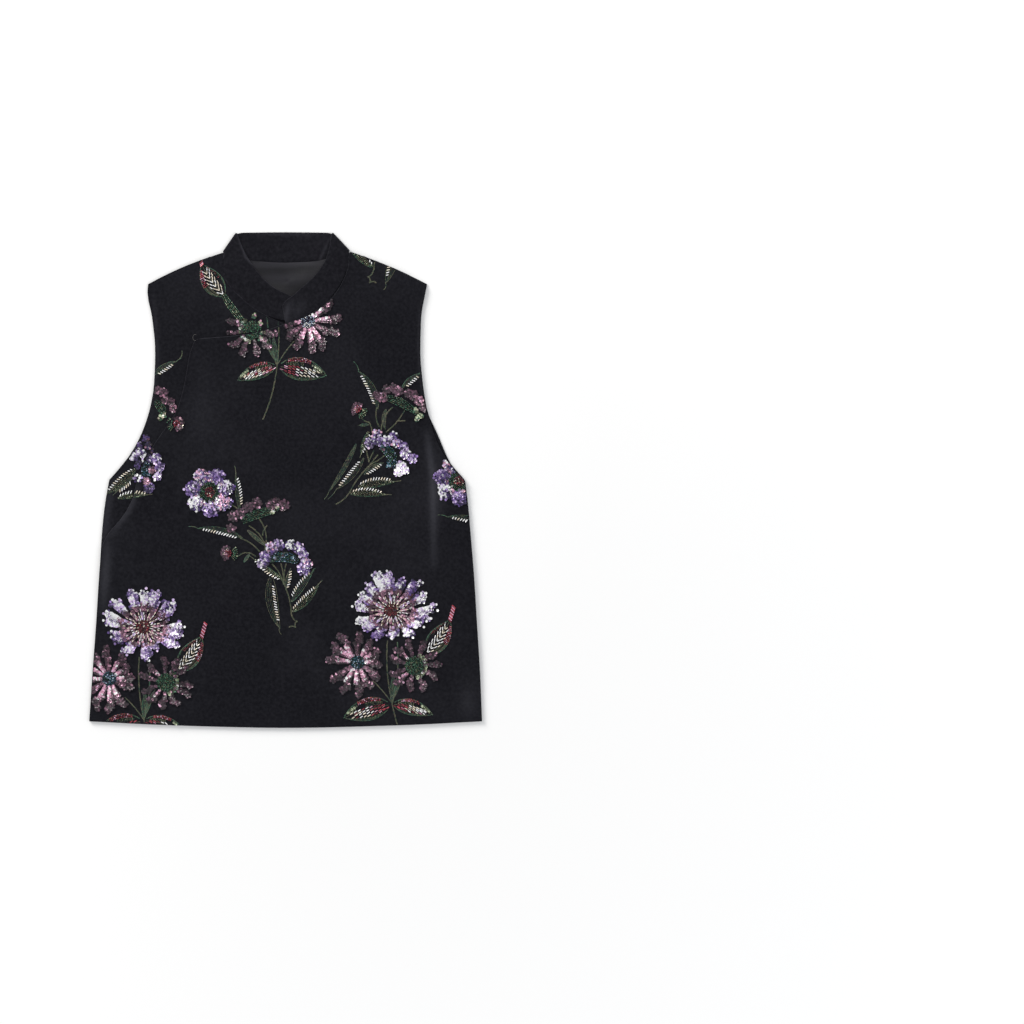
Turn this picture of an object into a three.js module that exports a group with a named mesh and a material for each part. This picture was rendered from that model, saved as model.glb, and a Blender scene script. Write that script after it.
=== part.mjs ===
// A short sleeveless velvet jacket in a Chinese cut, laid flat on its back with the front up.
// Millimetres. X runs to the viewer's right, Y towards the collar, Z up from the table.
// The origin is the middle of the outline, on the table.
import * as THREE from "three";

// Driving dimensions.
const JACKET_LENGTH = 644.8;
const HEM_WIDTH = 511;
const VELVET_WALL = 1.8;
const LINING_WALL = 1;
const COLLAR_WALL = 1.8;
const SEAM_GAP = 0.3;
const NECK_LIFT = 1.3;
const NECK_LIFT_INNER_RADIUS = 105;
const NECK_LIFT_OUTER_RADIUS = 165;
const NECK_CENTRE_Y = 240;
const LAP_RAMP_START = 15;
const LAP_RAMP_END = 60;
const PUFF_HEIGHT = 2.4;
const PUFF_REACH = 85;
const EDGE_ROUNDING = 1.4;
const EDGE_SHARE = 0.5;
const MOST_EDGE_SHARE_OF_WIDTH = 0.2;
const ROW_STEP = 15;
const LEAST_ROW_STEP = 0.4;
const HEM_EASE = 120;
const LAP_COLUMNS = 26;
const UNDER_COLUMNS = 10;
const COLLAR_STATIONS_BETWEEN = 3;
const COLLAR_SHORT_STEP = 4;
const COLLAR_FOLD_STEPS = 6;
const COLLAR_SHARES = [0, 0.035, 0.35, 0.65, 0.965, 1];
const FOLD_CLEARANCE = 0.15;

const TOP = JACKET_LENGTH / 2;
const HEM = -TOP;
const HALF_HEM = HEM_WIDTH / 2;
const HEM_CORNER_RISE = 8.5;
const HEM_ROW_Y = HEM + HEM_CORNER_RISE;

// The outline at the viewer's left, from the neck point over the shoulder and armhole to the hem.
const LEFT_SHOULDER = [
  { y: 296.4, x: -82.6 },
  { y: 286, x: -111.1 },
  { y: 270.4, x: -149 },
  { y: 254.8, x: -178.8 },
];
const LEFT_ARMHOLE = [
  { y: 254.8, x: -178.8 },
  { y: 244.4, x: -179.8 },
  { y: 210.6, x: -173.6 },
  { y: 166, x: -169.7 },
  { y: 124.8, x: -171.2 },
  { y: 93.6, x: -176.4 },
  { y: 62.4, x: -186.6 },
  { y: 31.2, x: -203.5 },
  { y: 0, x: -229.5 },
];
const LEFT_SIDE = [
  { y: 0, x: -229.5 },
  { y: -31.2, x: -235 },
  { y: -62.4, x: -238.4 },
  { y: -124.8, x: -242.5 },
  { y: -187.2, x: -246.6 },
  { y: -249.6, x: -251.2 },
  { y: HEM_ROW_Y, x: -HALF_HEM },
];
const RIGHT_SHOULDER = [
  { y: 298, x: 83.6 },
  { y: 286, x: 115.4 },
  { y: 270.4, x: 152.8 },
  { y: 254.8, x: 184 },
];
const RIGHT_ARMHOLE = [
  { y: 254.8, x: 184 },
  { y: 244.4, x: 182 },
  { y: 210.6, x: 176.2 },
  { y: 166, x: 175.2 },
  { y: 124.8, x: 178.6 },
  { y: 93.6, x: 183.6 },
  { y: 62.4, x: 191.8 },
  { y: 31.2, x: 206.4 },
  { y: 0, x: 233.4 },
];
const RIGHT_SIDE = [
  { y: 0, x: 233.4 },
  { y: -31.2, x: 237.3 },
  { y: -62.4, x: 240 },
  { y: -124.8, x: 245.1 },
  { y: -187.2, x: 249 },
  { y: -249.6, x: 252.9 },
  { y: HEM_ROW_Y, x: HALF_HEM },
];

// Neck seams of the two fronts, from the neck point to the middle of the front.
const LEFT_NECK = [
  { y: 295.4, x: -83.4 },
  { y: 288, x: -83.4 },
  { y: 277, x: -83 },
  { y: 263.9, x: -80 },
  { y: 245.7, x: -67 },
  { y: 232.1, x: -52.7 },
  { y: 216.8, x: -30.8 },
  { y: 208, x: -13 },
  { y: 203.2, x: -0.7 },
];
const RIGHT_NECK = [
  { y: 296.4, x: 84.2 },
  { y: 282, x: 82.4 },
  { y: 266.5, x: 78.2 },
  { y: 252, x: 71 },
  { y: 237.9, x: 61.2 },
  { y: 218.4, x: 37.1 },
  { y: 209.3, x: 18.9 },
  { y: 203.3, x: -0.4 },
];

// The lap's free edge: nearly level to a rounded corner, then down in a long curve to the side seam.
const LAP_TOP_EDGE = [
  { y: 203.3, x: -0.4 },
  { y: 197, x: -18 },
  { y: 189.8, x: -46.2 },
  { y: 185.9, x: -81.3 },
  { y: 184, x: -108 },
  { y: 183, x: -114.6 },
];
const LAP_FREE_EDGE = [
  { y: 183, x: -114.6 },
  { y: 180.7, x: -118.4 },
  { y: 166.4, x: -124.2 },
  { y: 136.5, x: -129.4 },
  { y: 117, x: -133.3 },
  { y: 88.4, x: -142.4 },
  { y: 59.8, x: -161.9 },
  { y: 40.3, x: -174.9 },
  { y: 19.5, x: -186.6 },
  { y: 0, x: -193.1 },
  { y: -26, x: -199.6 },
  { y: -52, x: -215.2 },
  { y: -70, x: -231 },
  { y: -88, x: -239.8 },
];

// The under front's own hidden edge below the neck, which runs under the lap to the side seam.
const UNDER_HIDDEN_EDGE = [
  { y: 203.2, x: -0.7 },
  { y: 190, x: 3 },
  { y: 150, x: -4 },
  { y: 90, x: -28 },
  { y: 30, x: -72 },
  { y: -40, x: -142 },
  { y: -90, x: -196 },
  { y: -122, x: -236 },
];
const UNDER_END_Y = -122;

// How far the lower layer, left collar half and under front together, reaches to the right.
const LOWER_LAYER_REACH = [
  { y: 330, x: -70 },
  { y: 293.8, x: -51.4 },
  { y: 268.5, x: -34.5 },
  { y: 254.8, x: -21.5 },
  { y: 240, x: 8.5 },
  { y: 230, x: 19 },
  { y: 190, x: 8 },
  { y: 150, x: -2 },
  { y: 90, x: -26 },
  { y: 30, x: -70 },
  { y: -40, x: -140 },
  { y: -90, x: -190 },
  { y: -130, x: -238 },
  { y: -180, x: -320 },
  { y: -330, x: -600 },
];

// The hem bows down between its corners.
const HEM_BOW = [
  { x: -HALF_HEM, y: HEM_ROW_Y },
  { x: -150, y: HEM + 3.4 },
  { x: 0, y: HEM },
  { x: 150, y: HEM + 3.4 },
  { x: HALF_HEM, y: HEM_ROW_Y },
];

// Back neck seam, from neck point to neck point.
const BACK_NECK_SEAM = [
  { x: -83.6, y: 294.4 },
  { x: -75, y: 292 },
  { x: -62, y: 288.7 },
  { x: -42, y: 285.3 },
  { x: 0, y: 283 },
  { x: 42, y: 285.3 },
  { x: 62, y: 289 },
  { x: 75, y: 292.4 },
  { x: 84.6, y: 295.4 },
];

// At the viewer's right the back shows as a narrow crescent past the front's armhole.
const BACK_CRESCENT = { y: 52, halfHeight: 34, width: 5 };
const BACK_NECK_STEPS = 16;
const BACK_HEM_STEPS = 21;

// Soft ridges of the lap front, each along a line through three points. They stay clear of the rims.
const FOLD_FREE_OF_SIDE = 22;
const FOLD_FREE_OF_HEM = 30;
const FOLD_END_SHARE = 0.12;
const LAP_FOLDS = {
  armholeCrease: { x0: 184, y0: 62, x1: 196, y1: -60, x2: 188, y2: -150, width: 15, height: 4.4 },
  sideRoll: { x0: 222, y0: -40, x1: 226, y1: -140, x2: 232, y2: -250, width: 17, height: 2.6 },
  chestSwell: { x0: 92, y0: 190, x1: 118, y1: 120, x2: 150, y2: 40, width: 26, height: 2 },
  waistSwell: { x0: -150, y0: -90, x1: -120, y1: -170, x2: -130, y2: -260, width: 28, height: 2.2 },
  middleSwell: { x0: 10, y0: 110, x1: -4, y1: -20, x2: 20, y2: -150, width: 34, height: 1.8 },
  hemWaveLeft: { x0: -70, y0: -190, x1: -64, y1: -250, x2: -60, y2: -300, width: 24, height: 2 },
  hemWaveRight: { x0: 96, y0: -180, x1: 104, y1: -240, x2: 108, y2: -300, width: 24, height: 2.2 },
};

// Pairs of points across the collar band: its seam edge and its free top edge.
const COLLAR_LEFT_HALF = [
  { seamX: 5, seamY: 207.4, topX: 17.5, topY: 233.5 },
  { seamX: -12, seamY: 209.8, topX: 5, topY: 240.4 },
  { seamX: -30.4, seamY: 217.6, topX: -10.5, topY: 247.5 },
  { seamX: -52.4, seamY: 232.5, topX: -23.5, topY: 256.8 },
  { seamX: -66.6, seamY: 246.2, topX: -35, topY: 268.8 },
  { seamX: -77.2, seamY: 259.5, topX: -44, topY: 281.5 },
  { seamX: -81.2, seamY: 273, topX: -51.6, topY: 294 },
  { seamX: -81.3, seamY: 284, topX: -57.5, topY: 306 },
];
const COLLAR_RIGHT_HALF = [
  { seamX: -0.2, seamY: 203.8, topX: -4.4, topY: 226.6 },
  { seamX: 7, seamY: 206.2, topX: 0.5, topY: 233.6 },
  { seamX: 18.7, seamY: 209.8, topX: 8.5, topY: 239 },
  { seamX: 36.8, seamY: 218.9, topX: 18.9, topY: 248.6 },
  { seamX: 49.4, seamY: 227.9, topX: 29.5, topY: 257.6 },
  { seamX: 60.8, seamY: 238.3, topX: 38.6, topY: 266.8 },
  { seamX: 70.6, seamY: 252.4, topX: 47.2, topY: 278.2 },
  { seamX: 77.8, seamY: 266.8, topX: 53.6, topY: 290.4 },
  { seamX: 81.8, seamY: 281.6, topX: 57.2, topY: 304.4 },
];
const COLLAR_BACK = [
  { seamX: -73, seamY: 293.2, topX: -57.5, topY: 321.6 },
  { seamX: -60, seamY: 288.9, topX: -48, topY: 321.9 },
  { seamX: -42, seamY: 285.6, topX: -35, topY: 322.1 },
  { seamX: -20, seamY: 283.7, topX: -17, topY: 322.3 },
  { seamX: 0, seamY: 283.3, topX: 0, topY: TOP },
  { seamX: 20, seamY: 283.7, topX: 17, topY: 322.3 },
  { seamX: 42, seamY: 285.6, topX: 34, topY: 322.1 },
  { seamX: 60, seamY: 289.3, topX: 47, topY: 321.9 },
  { seamX: 73, seamY: 294, topX: 55.5, topY: 321.6 },
];
// Where the band turns over: outermost points of the fold at the seam and at the top edge.
const COLLAR_LEFT_FOLD = { seamX: -82.2, seamY: 297.2, topX: -65, topY: 322 };
const COLLAR_RIGHT_FOLD = { seamX: 83.8, seamY: 298.6, topX: 61.6, topY: 322.2 };

// The lining shows in the neck, and its rim lies a little under the collar.
const LINING_OUTLINE = [
  { x: -50, y: 286.1 },
  { x: -42, y: 285 },
  { x: 0, y: 282.7 },
  { x: 42, y: 285 },
  { x: 58, y: 288.2 },
  { x: 52, y: 272 },
  { x: 38, y: 254 },
  { x: 18, y: 234 },
  { x: 6, y: 228 },
  { x: -12, y: 236 },
  { x: -32, y: 256 },
  { x: -44, y: 272 },
];

const clamp01 = (t) => Math.min(1, Math.max(0, t));

function smooth(from, to, value) {
  const t = clamp01((value - from) / (to - from));
  return t * t * (3 - 2 * t);
}

// A curve through a table's rows as a function of one of its columns, without overshoot.
function curveThrough(rows, along, across) {
  const sorted = [...rows].sort((a, b) => a[along] - b[along]);
  const at = sorted.map((row) => row[along]);
  const value = sorted.map((row) => row[across]);
  const last = at.length - 1;
  const slope = (i) => (value[i + 1] - value[i]) / (at[i + 1] - at[i]);
  const tangent = at.map((_, i) => {
    if (i === 0) return slope(0);
    if (i === last) return slope(last - 1);
    const before = slope(i - 1);
    const after = slope(i);
    return before * after <= 0 ? 0 : (2 * before * after) / (before + after);
  });
  return (where) => {
    const held = Math.min(at[last], Math.max(at[0], where));
    let i = 0;
    while (i < last - 1 && held > at[i + 1]) i += 1;
    const span = at[i + 1] - at[i];
    const t = (held - at[i]) / span;
    const t2 = t * t;
    const t3 = t2 * t;
    return (
      value[i] * (2 * t3 - 3 * t2 + 1) +
      tangent[i] * span * (t3 - 2 * t2 + t) +
      value[i + 1] * (3 * t2 - 2 * t3) +
      tangent[i + 1] * span * (t3 - t2)
    );
  };
}

// An edge made of several tables that meet at their end rows, as x for a given y.
function edgeOf(...tables) {
  const pieces = tables.map((rows) => {
    const low = Math.min(...rows.map((row) => row.y));
    return { low, at: curveThrough(rows, "y", "x") };
  });
  return (y) => {
    const piece = pieces.find((p) => y >= p.low) ?? pieces[pieces.length - 1];
    return piece.at(y);
  };
}

const leftEdge = edgeOf(LEFT_SHOULDER, LEFT_ARMHOLE, LEFT_SIDE);
const rightEdge = edgeOf(RIGHT_SHOULDER, RIGHT_ARMHOLE, RIGHT_SIDE);
const hemAt = curveThrough(HEM_BOW, "x", "y");
const lowerLayerReach = curveThrough(LOWER_LAYER_REACH, "y", "x");

// Heights of the layers above the table, each the underside of a wall.
const BACK_TOP = VELVET_WALL;
const FIRST_LAYER = BACK_TOP + SEAM_GAP;

function firstLayerAt(x, y) {
  const fromNeck = Math.hypot(x, y - NECK_CENTRE_Y);
  return FIRST_LAYER + NECK_LIFT * (1 - smooth(NECK_LIFT_INNER_RADIUS, NECK_LIFT_OUTER_RADIUS, fromNeck));
}

function coverAt(x, y) {
  return 1 - smooth(LAP_RAMP_START, LAP_RAMP_END, x - lowerLayerReach(y));
}

function topLayerAt(x, y) {
  return firstLayerAt(x, y) + (VELVET_WALL + SEAM_GAP) * coverAt(x, y);
}

// Air under the lap, none at the side seams, armholes and hem.
function puffAt(x, y) {
  const toSide = Math.min(x - leftEdge(y), rightEdge(y) - x);
  const toHem = y - hemAt(x);
  const held = smooth(0, PUFF_REACH, toSide) * smooth(0, PUFF_REACH, toHem);
  return PUFF_HEIGHT * held * (1 - coverAt(x, y));
}

// A ridge along a bent line, highest in its middle and gone at its ends.
function foldAt(fold, x, y) {
  let nearest = Infinity;
  let along = 0;
  const ends = [
    [fold.x0, fold.y0, fold.x1, fold.y1, 0],
    [fold.x1, fold.y1, fold.x2, fold.y2, 0.5],
  ];
  for (const [ax, ay, bx, by, share] of ends) {
    const dx = bx - ax;
    const dy = by - ay;
    const t = clamp01(((x - ax) * dx + (y - ay) * dy) / (dx * dx + dy * dy));
    const gap = Math.hypot(x - ax - dx * t, y - ay - dy * t);
    if (gap < nearest) {
      nearest = gap;
      along = share + t / 2;
    }
  }
  const across = nearest / fold.width;
  const inward = FOLD_END_SHARE + (1 - 2 * FOLD_END_SHARE) * along;
  return fold.height * Math.exp(-across * across) * Math.sin(Math.PI * inward);
}

function lapUndersideAt(x, y) {
  const toSide = Math.min(x - leftEdge(y), rightEdge(y) - x);
  const free = smooth(0, FOLD_FREE_OF_SIDE, toSide) * smooth(0, FOLD_FREE_OF_HEM, y - hemAt(x));
  const folds = Object.values(LAP_FOLDS).reduce((sum, fold) => sum + foldAt(fold, x, y), 0);
  return topLayerAt(x, y) + puffAt(x, y) + folds * free;
}

// Joins a grid of lower points and a grid of upper points, row by row, into one closed wall.
function closedWall(lower, upper) {
  const rows = lower.length;
  const columns = lower[0].length;
  const positions = [...lower.flat(), ...upper.flat()].flat();
  const low = (i, j) => i * columns + j;
  const high = (i, j) => rows * columns + low(i, j);
  const faces = [];
  const quad = (a, b, c, d) => faces.push(a, b, c, a, c, d);
  for (let i = 0; i < rows - 1; i += 1) {
    for (let j = 0; j < columns - 1; j += 1) {
      quad(high(i, j), high(i + 1, j), high(i + 1, j + 1), high(i, j + 1));
      quad(low(i, j), low(i, j + 1), low(i + 1, j + 1), low(i + 1, j));
    }
    quad(low(i, 0), low(i + 1, 0), high(i + 1, 0), high(i, 0));
    quad(high(i, columns - 1), high(i + 1, columns - 1), low(i + 1, columns - 1), low(i, columns - 1));
  }
  for (let j = 0; j < columns - 1; j += 1) {
    quad(low(0, j), high(0, j), high(0, j + 1), low(0, j + 1));
    quad(high(rows - 1, j), low(rows - 1, j), low(rows - 1, j + 1), high(rows - 1, j + 1));
  }
  const geometry = new THREE.BufferGeometry();
  geometry.setAttribute("position", new THREE.Float32BufferAttribute(positions, 3));
  geometry.setIndex(faces);
  geometry.computeVertexNormals();
  return geometry;
}

// Shares of a width, close together at both ends so that the edges can be rounded.
function sharesAcross(count, width) {
  const edge = Math.min(MOST_EDGE_SHARE_OF_WIDTH, EDGE_ROUNDING / width);
  const inner = Array.from({ length: count - 1 }, (_, k) => edge + ((1 - 2 * edge) * k) / (count - 2));
  return [0, ...inner, 1];
}

// Heights down the panel: every row of its tables, one just above its lower rim, and rows between
// them where they lie far apart.
function rowsThrough(...tables) {
  const set = new Set(tables.flat().map((row) => row.y));
  const low = Math.min(...set);
  set.add(low + EDGE_ROUNDING);
  const marks = [...set].sort((a, b) => b - a);
  const rows = [marks[0]];
  for (let i = 1; i < marks.length; i += 1) {
    const span = marks[i - 1] - marks[i];
    const steps = Math.ceil(span / ROW_STEP);
    for (let k = 1; k <= steps; k += 1) rows.push(marks[i - 1] - (span * k) / steps);
  }
  return rows.filter((y, i) => i === 0 || rows[i - 1] - y > LEAST_ROW_STEP);
}

// A cloth panel between a left and a right edge, as a wall that thins towards its rounded rim.
function clothPanel({ rows, left, right, columns, underside, wall, settle = (x, y) => y }) {
  const lower = [];
  const upper = [];
  const lastRow = rows.length - 1;
  rows.forEach((y, i) => {
    const x0 = left(y);
    const x1 = right(y);
    const shares = sharesAcross(columns, x1 - x0);
    const lowRow = [];
    const highRow = [];
    shares.forEach((share, j) => {
      const x = x0 + (x1 - x0) * share;
      const settled = settle(x, y);
      const rim = i === 0 || i === lastRow || j === 0 || j === shares.length - 1;
      const z = underside(x, settled);
      lowRow.push([x, settled, z]);
      highRow.push([x, settled, z + wall * (rim ? EDGE_SHARE : 1)]);
    });
    lower.push(lowRow);
    upper.push(highRow);
  });
  return closedWall(lower, upper);
}

const velvet = new THREE.MeshStandardMaterial({ color: 0x17161a, roughness: 0.95, metalness: 0 });
const satin = new THREE.MeshStandardMaterial({ color: 0x4b4a4d, roughness: 0.5, metalness: 0 });
const collarVelvet = new THREE.MeshStandardMaterial({ color: 0x1b1a1e, roughness: 0.95, metalness: 0 });

const jacket = new THREE.Group();

function add(name, geometry, material) {
  const mesh = new THREE.Mesh(geometry, material);
  mesh.name = name;
  jacket.add(mesh);
}

// The back lies flat on the table and shows past the front only as a crescent at one armhole.
function backPanel() {
  const outline = [];
  const push = (x, y) => outline.push(new THREE.Vector2(x, y));
  const seam = curveThrough(BACK_NECK_SEAM, "x", "y");
  const neckLeft = BACK_NECK_SEAM[0].x;
  const neckRight = BACK_NECK_SEAM[BACK_NECK_SEAM.length - 1].x;
  for (let k = 0; k <= BACK_NECK_STEPS; k += 1) {
    const x = neckRight + ((neckLeft - neckRight) * k) / BACK_NECK_STEPS;
    push(x, seam(x) - SEAM_GAP);
  }
  const down = rowsThrough(LEFT_SHOULDER, LEFT_ARMHOLE, LEFT_SIDE).slice(1);
  down.forEach((y) => push(leftEdge(y), y));
  for (let k = 1; k < BACK_HEM_STEPS; k += 1) {
    const x = -HALF_HEM + (HEM_WIDTH * k) / BACK_HEM_STEPS;
    push(x, hemAt(x));
  }
  const up = rowsThrough(RIGHT_SHOULDER, RIGHT_ARMHOLE, RIGHT_SIDE).slice(1).reverse();
  up.forEach((y) => {
    const fromCrescent = Math.min(1, Math.abs(y - BACK_CRESCENT.y) / BACK_CRESCENT.halfHeight);
    push(rightEdge(y) + BACK_CRESCENT.width * Math.cos((fromCrescent * Math.PI) / 2), y);
  });
  return new THREE.ExtrudeGeometry(new THREE.Shape(outline), { depth: VELVET_WALL, bevelEnabled: false });
}

function neckLining() {
  const curve = new THREE.CatmullRomCurve3(
    LINING_OUTLINE.map((row) => new THREE.Vector3(row.x, row.y, 0)),
    true,
    "centripetal",
  );
  const points = curve.getPoints(LINING_OUTLINE.length * 3).slice(0, -1);
  const shape = new THREE.Shape(points.map((p) => new THREE.Vector2(p.x, p.y)).reverse());
  const geometry = new THREE.ExtrudeGeometry(shape, { depth: LINING_WALL, bevelEnabled: false });
  geometry.translate(0, 0, FIRST_LAYER);
  return geometry;
}

// The last row of a full-width panel follows the bowed hem, and the rows above it ease into it.
function easedToHem(x, y) {
  const share = clamp01((HEM_ROW_Y + HEM_EASE - y) / HEM_EASE);
  return y + (hemAt(x) - HEM_ROW_Y) * share;
}

function lapFront() {
  return clothPanel({
    rows: rowsThrough(RIGHT_NECK, LAP_TOP_EDGE, LAP_FREE_EDGE, LEFT_SIDE.slice(-1)),
    left: edgeOf(RIGHT_NECK, LAP_TOP_EDGE, LAP_FREE_EDGE, [LAP_FREE_EDGE.at(-1), ...LEFT_SIDE.slice(3)]),
    right: rightEdge,
    columns: LAP_COLUMNS,
    underside: lapUndersideAt,
    wall: VELVET_WALL,
    settle: easedToHem,
  });
}

function underFront() {
  const rows = rowsThrough(LEFT_NECK, UNDER_HIDDEN_EDGE, LEFT_ARMHOLE);
  return clothPanel({
    rows: rows.filter((y) => y >= UNDER_END_Y),
    left: leftEdge,
    right: edgeOf(LEFT_NECK, UNDER_HIDDEN_EDGE),
    columns: UNDER_COLUMNS,
    underside: firstLayerAt,
    wall: VELVET_WALL,
  });
}

// The collar's middle surface runs from the left half's end, over both folds, to the right half's end.
function collarStations() {
  const half = COLLAR_WALL / 2;
  const place = (row, seamZ, topZ) => ({
    seam: new THREE.Vector3(row.seamX, row.seamY, seamZ),
    top: new THREE.Vector3(row.topX, row.topY, topZ),
  });
  const flatOn = (rows, level) =>
    rows.map((row) => place(row, level(row.seamX, row.seamY) + half, level(row.topX, row.topY) + half));
  const turn = (fold, level, fromLow) => {
    const outer = place(fold, 0, 0);
    const line = outer.top.clone().sub(outer.seam).normalize();
    const out = new THREE.Vector3(-line.y, line.x, 0);
    if (out.x * fold.seamX < 0) out.negate();
    const lowZ = half + FOLD_CLEARANCE;
    const highZ = level(fold.seamX, fold.seamY) + half;
    const radius = (highZ - lowZ) / 2;
    const made = [];
    for (let k = 0; k <= COLLAR_FOLD_STEPS; k += 1) {
      const swing = Math.PI * (k / COLLAR_FOLD_STEPS - 0.5);
      const shift = out.clone().multiplyScalar(radius * (Math.cos(swing) - 1) - half);
      shift.z = lowZ + radius + radius * Math.sin(swing);
      made.push({ seam: outer.seam.clone().add(shift), top: outer.top.clone().add(shift) });
    }
    return fromLow ? made : made.reverse();
  };
  return [
    ...flatOn(COLLAR_LEFT_HALF, firstLayerAt),
    ...turn(COLLAR_LEFT_FOLD, firstLayerAt, false),
    ...flatOn(COLLAR_BACK, () => 0),
    ...turn(COLLAR_RIGHT_FOLD, topLayerAt, true),
    ...flatOn([...COLLAR_RIGHT_HALF].reverse(), topLayerAt),
  ];
}

function standCollar() {
  const stations = collarStations();
  const seamCurve = new THREE.CatmullRomCurve3(stations.map((s) => s.seam), false, "centripetal");
  const topCurve = new THREE.CatmullRomCurve3(stations.map((s) => s.top), false, "centripetal");
  const last = stations.length - 1;
  const marks = [];
  for (let i = 0; i < last; i += 1) {
    const step = stations[i].seam.distanceTo(stations[i + 1].seam);
    const parts = step > COLLAR_SHORT_STEP ? COLLAR_STATIONS_BETWEEN : 1;
    for (let k = 0; k < parts; k += 1) marks.push((i + k / parts) / last);
  }
  marks.push(1);
  const middle = marks.map((u) => {
    const seam = seamCurve.getPoint(u);
    const top = topCurve.getPoint(u);
    return COLLAR_SHARES.map((share) => seam.clone().lerp(top, share));
  });
  const lower = [];
  const upper = [];
  middle.forEach((row, i) => {
    const before = middle[Math.max(0, i - 1)];
    const after = middle[Math.min(middle.length - 1, i + 1)];
    const lowRow = [];
    const highRow = [];
    row.forEach((point, j) => {
      const along = after[j].clone().sub(before[j]);
      const across = row[row.length - 1].clone().sub(row[0]);
      const normal = along.cross(across).normalize();
      const rim = i === 0 || i === middle.length - 1 || j === 0 || j === row.length - 1;
      const reach = (COLLAR_WALL / 2) * (rim ? EDGE_SHARE : 1);
      lowRow.push(point.clone().addScaledVector(normal, -reach).toArray());
      highRow.push(point.clone().addScaledVector(normal, reach).toArray());
    });
    lower.push(lowRow);
    upper.push(highRow);
  });
  return closedWall(lower, upper);
}

add("back_panel", backPanel(), velvet);
add("back_neck_lining", neckLining(), satin);
add("under_front", underFront(), velvet);
add("lap_front", lapFront(), velvet);
add("stand_collar", standCollar(), collarVelvet);

export default jacket;
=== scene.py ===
"""A short sleeveless velvet jacket with a stand collar and sequin flowers, laid flat with its front up."""

import math
import random

import bpy
import numpy as np
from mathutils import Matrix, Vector
from mathutils.bvhtree import BVHTree


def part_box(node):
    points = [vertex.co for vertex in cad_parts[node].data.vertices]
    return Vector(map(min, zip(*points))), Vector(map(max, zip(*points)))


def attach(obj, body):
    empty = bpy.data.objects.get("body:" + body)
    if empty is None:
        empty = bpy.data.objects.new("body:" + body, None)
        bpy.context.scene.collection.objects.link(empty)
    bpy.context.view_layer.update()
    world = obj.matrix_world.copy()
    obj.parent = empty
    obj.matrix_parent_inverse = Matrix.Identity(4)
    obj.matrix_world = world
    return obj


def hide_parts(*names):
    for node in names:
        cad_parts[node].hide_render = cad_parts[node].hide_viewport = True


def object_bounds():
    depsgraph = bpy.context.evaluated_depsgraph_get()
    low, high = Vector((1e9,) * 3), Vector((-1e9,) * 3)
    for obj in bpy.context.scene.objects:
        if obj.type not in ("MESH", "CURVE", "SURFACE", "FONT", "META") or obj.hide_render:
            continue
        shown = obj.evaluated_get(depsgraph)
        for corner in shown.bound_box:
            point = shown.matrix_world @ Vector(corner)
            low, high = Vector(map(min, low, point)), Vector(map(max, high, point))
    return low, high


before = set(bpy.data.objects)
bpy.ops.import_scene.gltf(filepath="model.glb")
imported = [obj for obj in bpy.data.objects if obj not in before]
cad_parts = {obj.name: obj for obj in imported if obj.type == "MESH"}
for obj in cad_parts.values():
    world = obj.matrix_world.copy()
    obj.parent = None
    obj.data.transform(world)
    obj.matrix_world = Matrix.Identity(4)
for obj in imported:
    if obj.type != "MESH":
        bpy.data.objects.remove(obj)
cad_low, cad_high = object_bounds()
MM = 0.001

# Back panel. One flat piece of black velvet, cut to the full outline, on which everything else lies.
# It is cut as a grid whose rows run between its edges, then given a thickness and turned, rounded rims.
TURNED_EDGE = 4.0
TROUGH_DEPTH = 0.35
TROUGH_WIDTH = 1.3
EDGE_OFFSETS = (0, 1.4, 2.9, TURNED_EDGE, 5.1, 7.5, 11)
BACK_COLUMNS = 96
BACK_ROW_STEP = 6.0
BACK_UNDERSIDE = 0.5
BACK_THICK = 1.25
BACK_ROUNDING = 0.45
RIM_SHEEN = 0.55
SHOULDER_ENDS_X = (-178.7, 183.9)
SHOULDER_ROWS = 22
SHOULDER_POINT_Y = 254.8
HEM_CORNERS_X = (-255.4, 255.4)
HEM_EASE = 120.0
HEM_STITCH_RISE = 40.0
HEM_GROOVE_WIDTH = 1.5
HEM_GROOVE_DEPTH = 0.45


def deselect():
    bpy.ops.object.select_all(action="DESELECT")


def pick(piece):
    deselect()
    piece.select_set(True)
    bpy.context.view_layer.objects.active = piece


def edit_mesh(operation, **settings):
    """Runs a mesh operator on the whole of the active piece."""
    bpy.ops.object.mode_set(mode="EDIT")
    bpy.ops.mesh.select_all(action="SELECT")
    operation(**settings)
    bpy.ops.object.mode_set(mode="OBJECT")


def smooth_step(low, high, value):
    share = np.clip((value - low) / (high - low), 0, 1)
    return share * share * (3 - 2 * share)


def triangles_of(node):
    """A node's triangles in millimetres, as an array of corners."""
    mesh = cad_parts[node].data
    mesh.calc_loop_triangles()
    points = np.array([vertex.co[:] for vertex in mesh.vertices]) / MM
    corners = np.array([triangle.vertices[:] for triangle in mesh.loop_triangles])
    return points[corners]


def slice_through(triangles, axis, at):
    """Lowest and highest place of the outline where x (axis 0) or y (axis 1) has a value."""
    starts = triangles.reshape(-1, 3)
    ends = np.roll(triangles, -1, axis=1).reshape(-1, 3)
    below = starts[:, axis] - at
    above = ends[:, axis] - at
    crosses = (below * above <= 0) & (np.abs(below - above) > 1e-6)
    share = below[crosses] / (below[crosses] - above[crosses])
    other = 1 - axis
    places = starts[crosses, other] + (ends[crosses, other] - starts[crosses, other]) * share
    return places.min(), places.max()


def curve_of(triangles, axis, low, high, count, side):
    """The outline's lower (side 0) or upper (side 1) edge as a function of x or y."""
    at = np.linspace(low, high, count)
    value = [slice_through(triangles, axis, place)[side] for place in at]
    return lambda where: np.interp(where, at, value)


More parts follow.
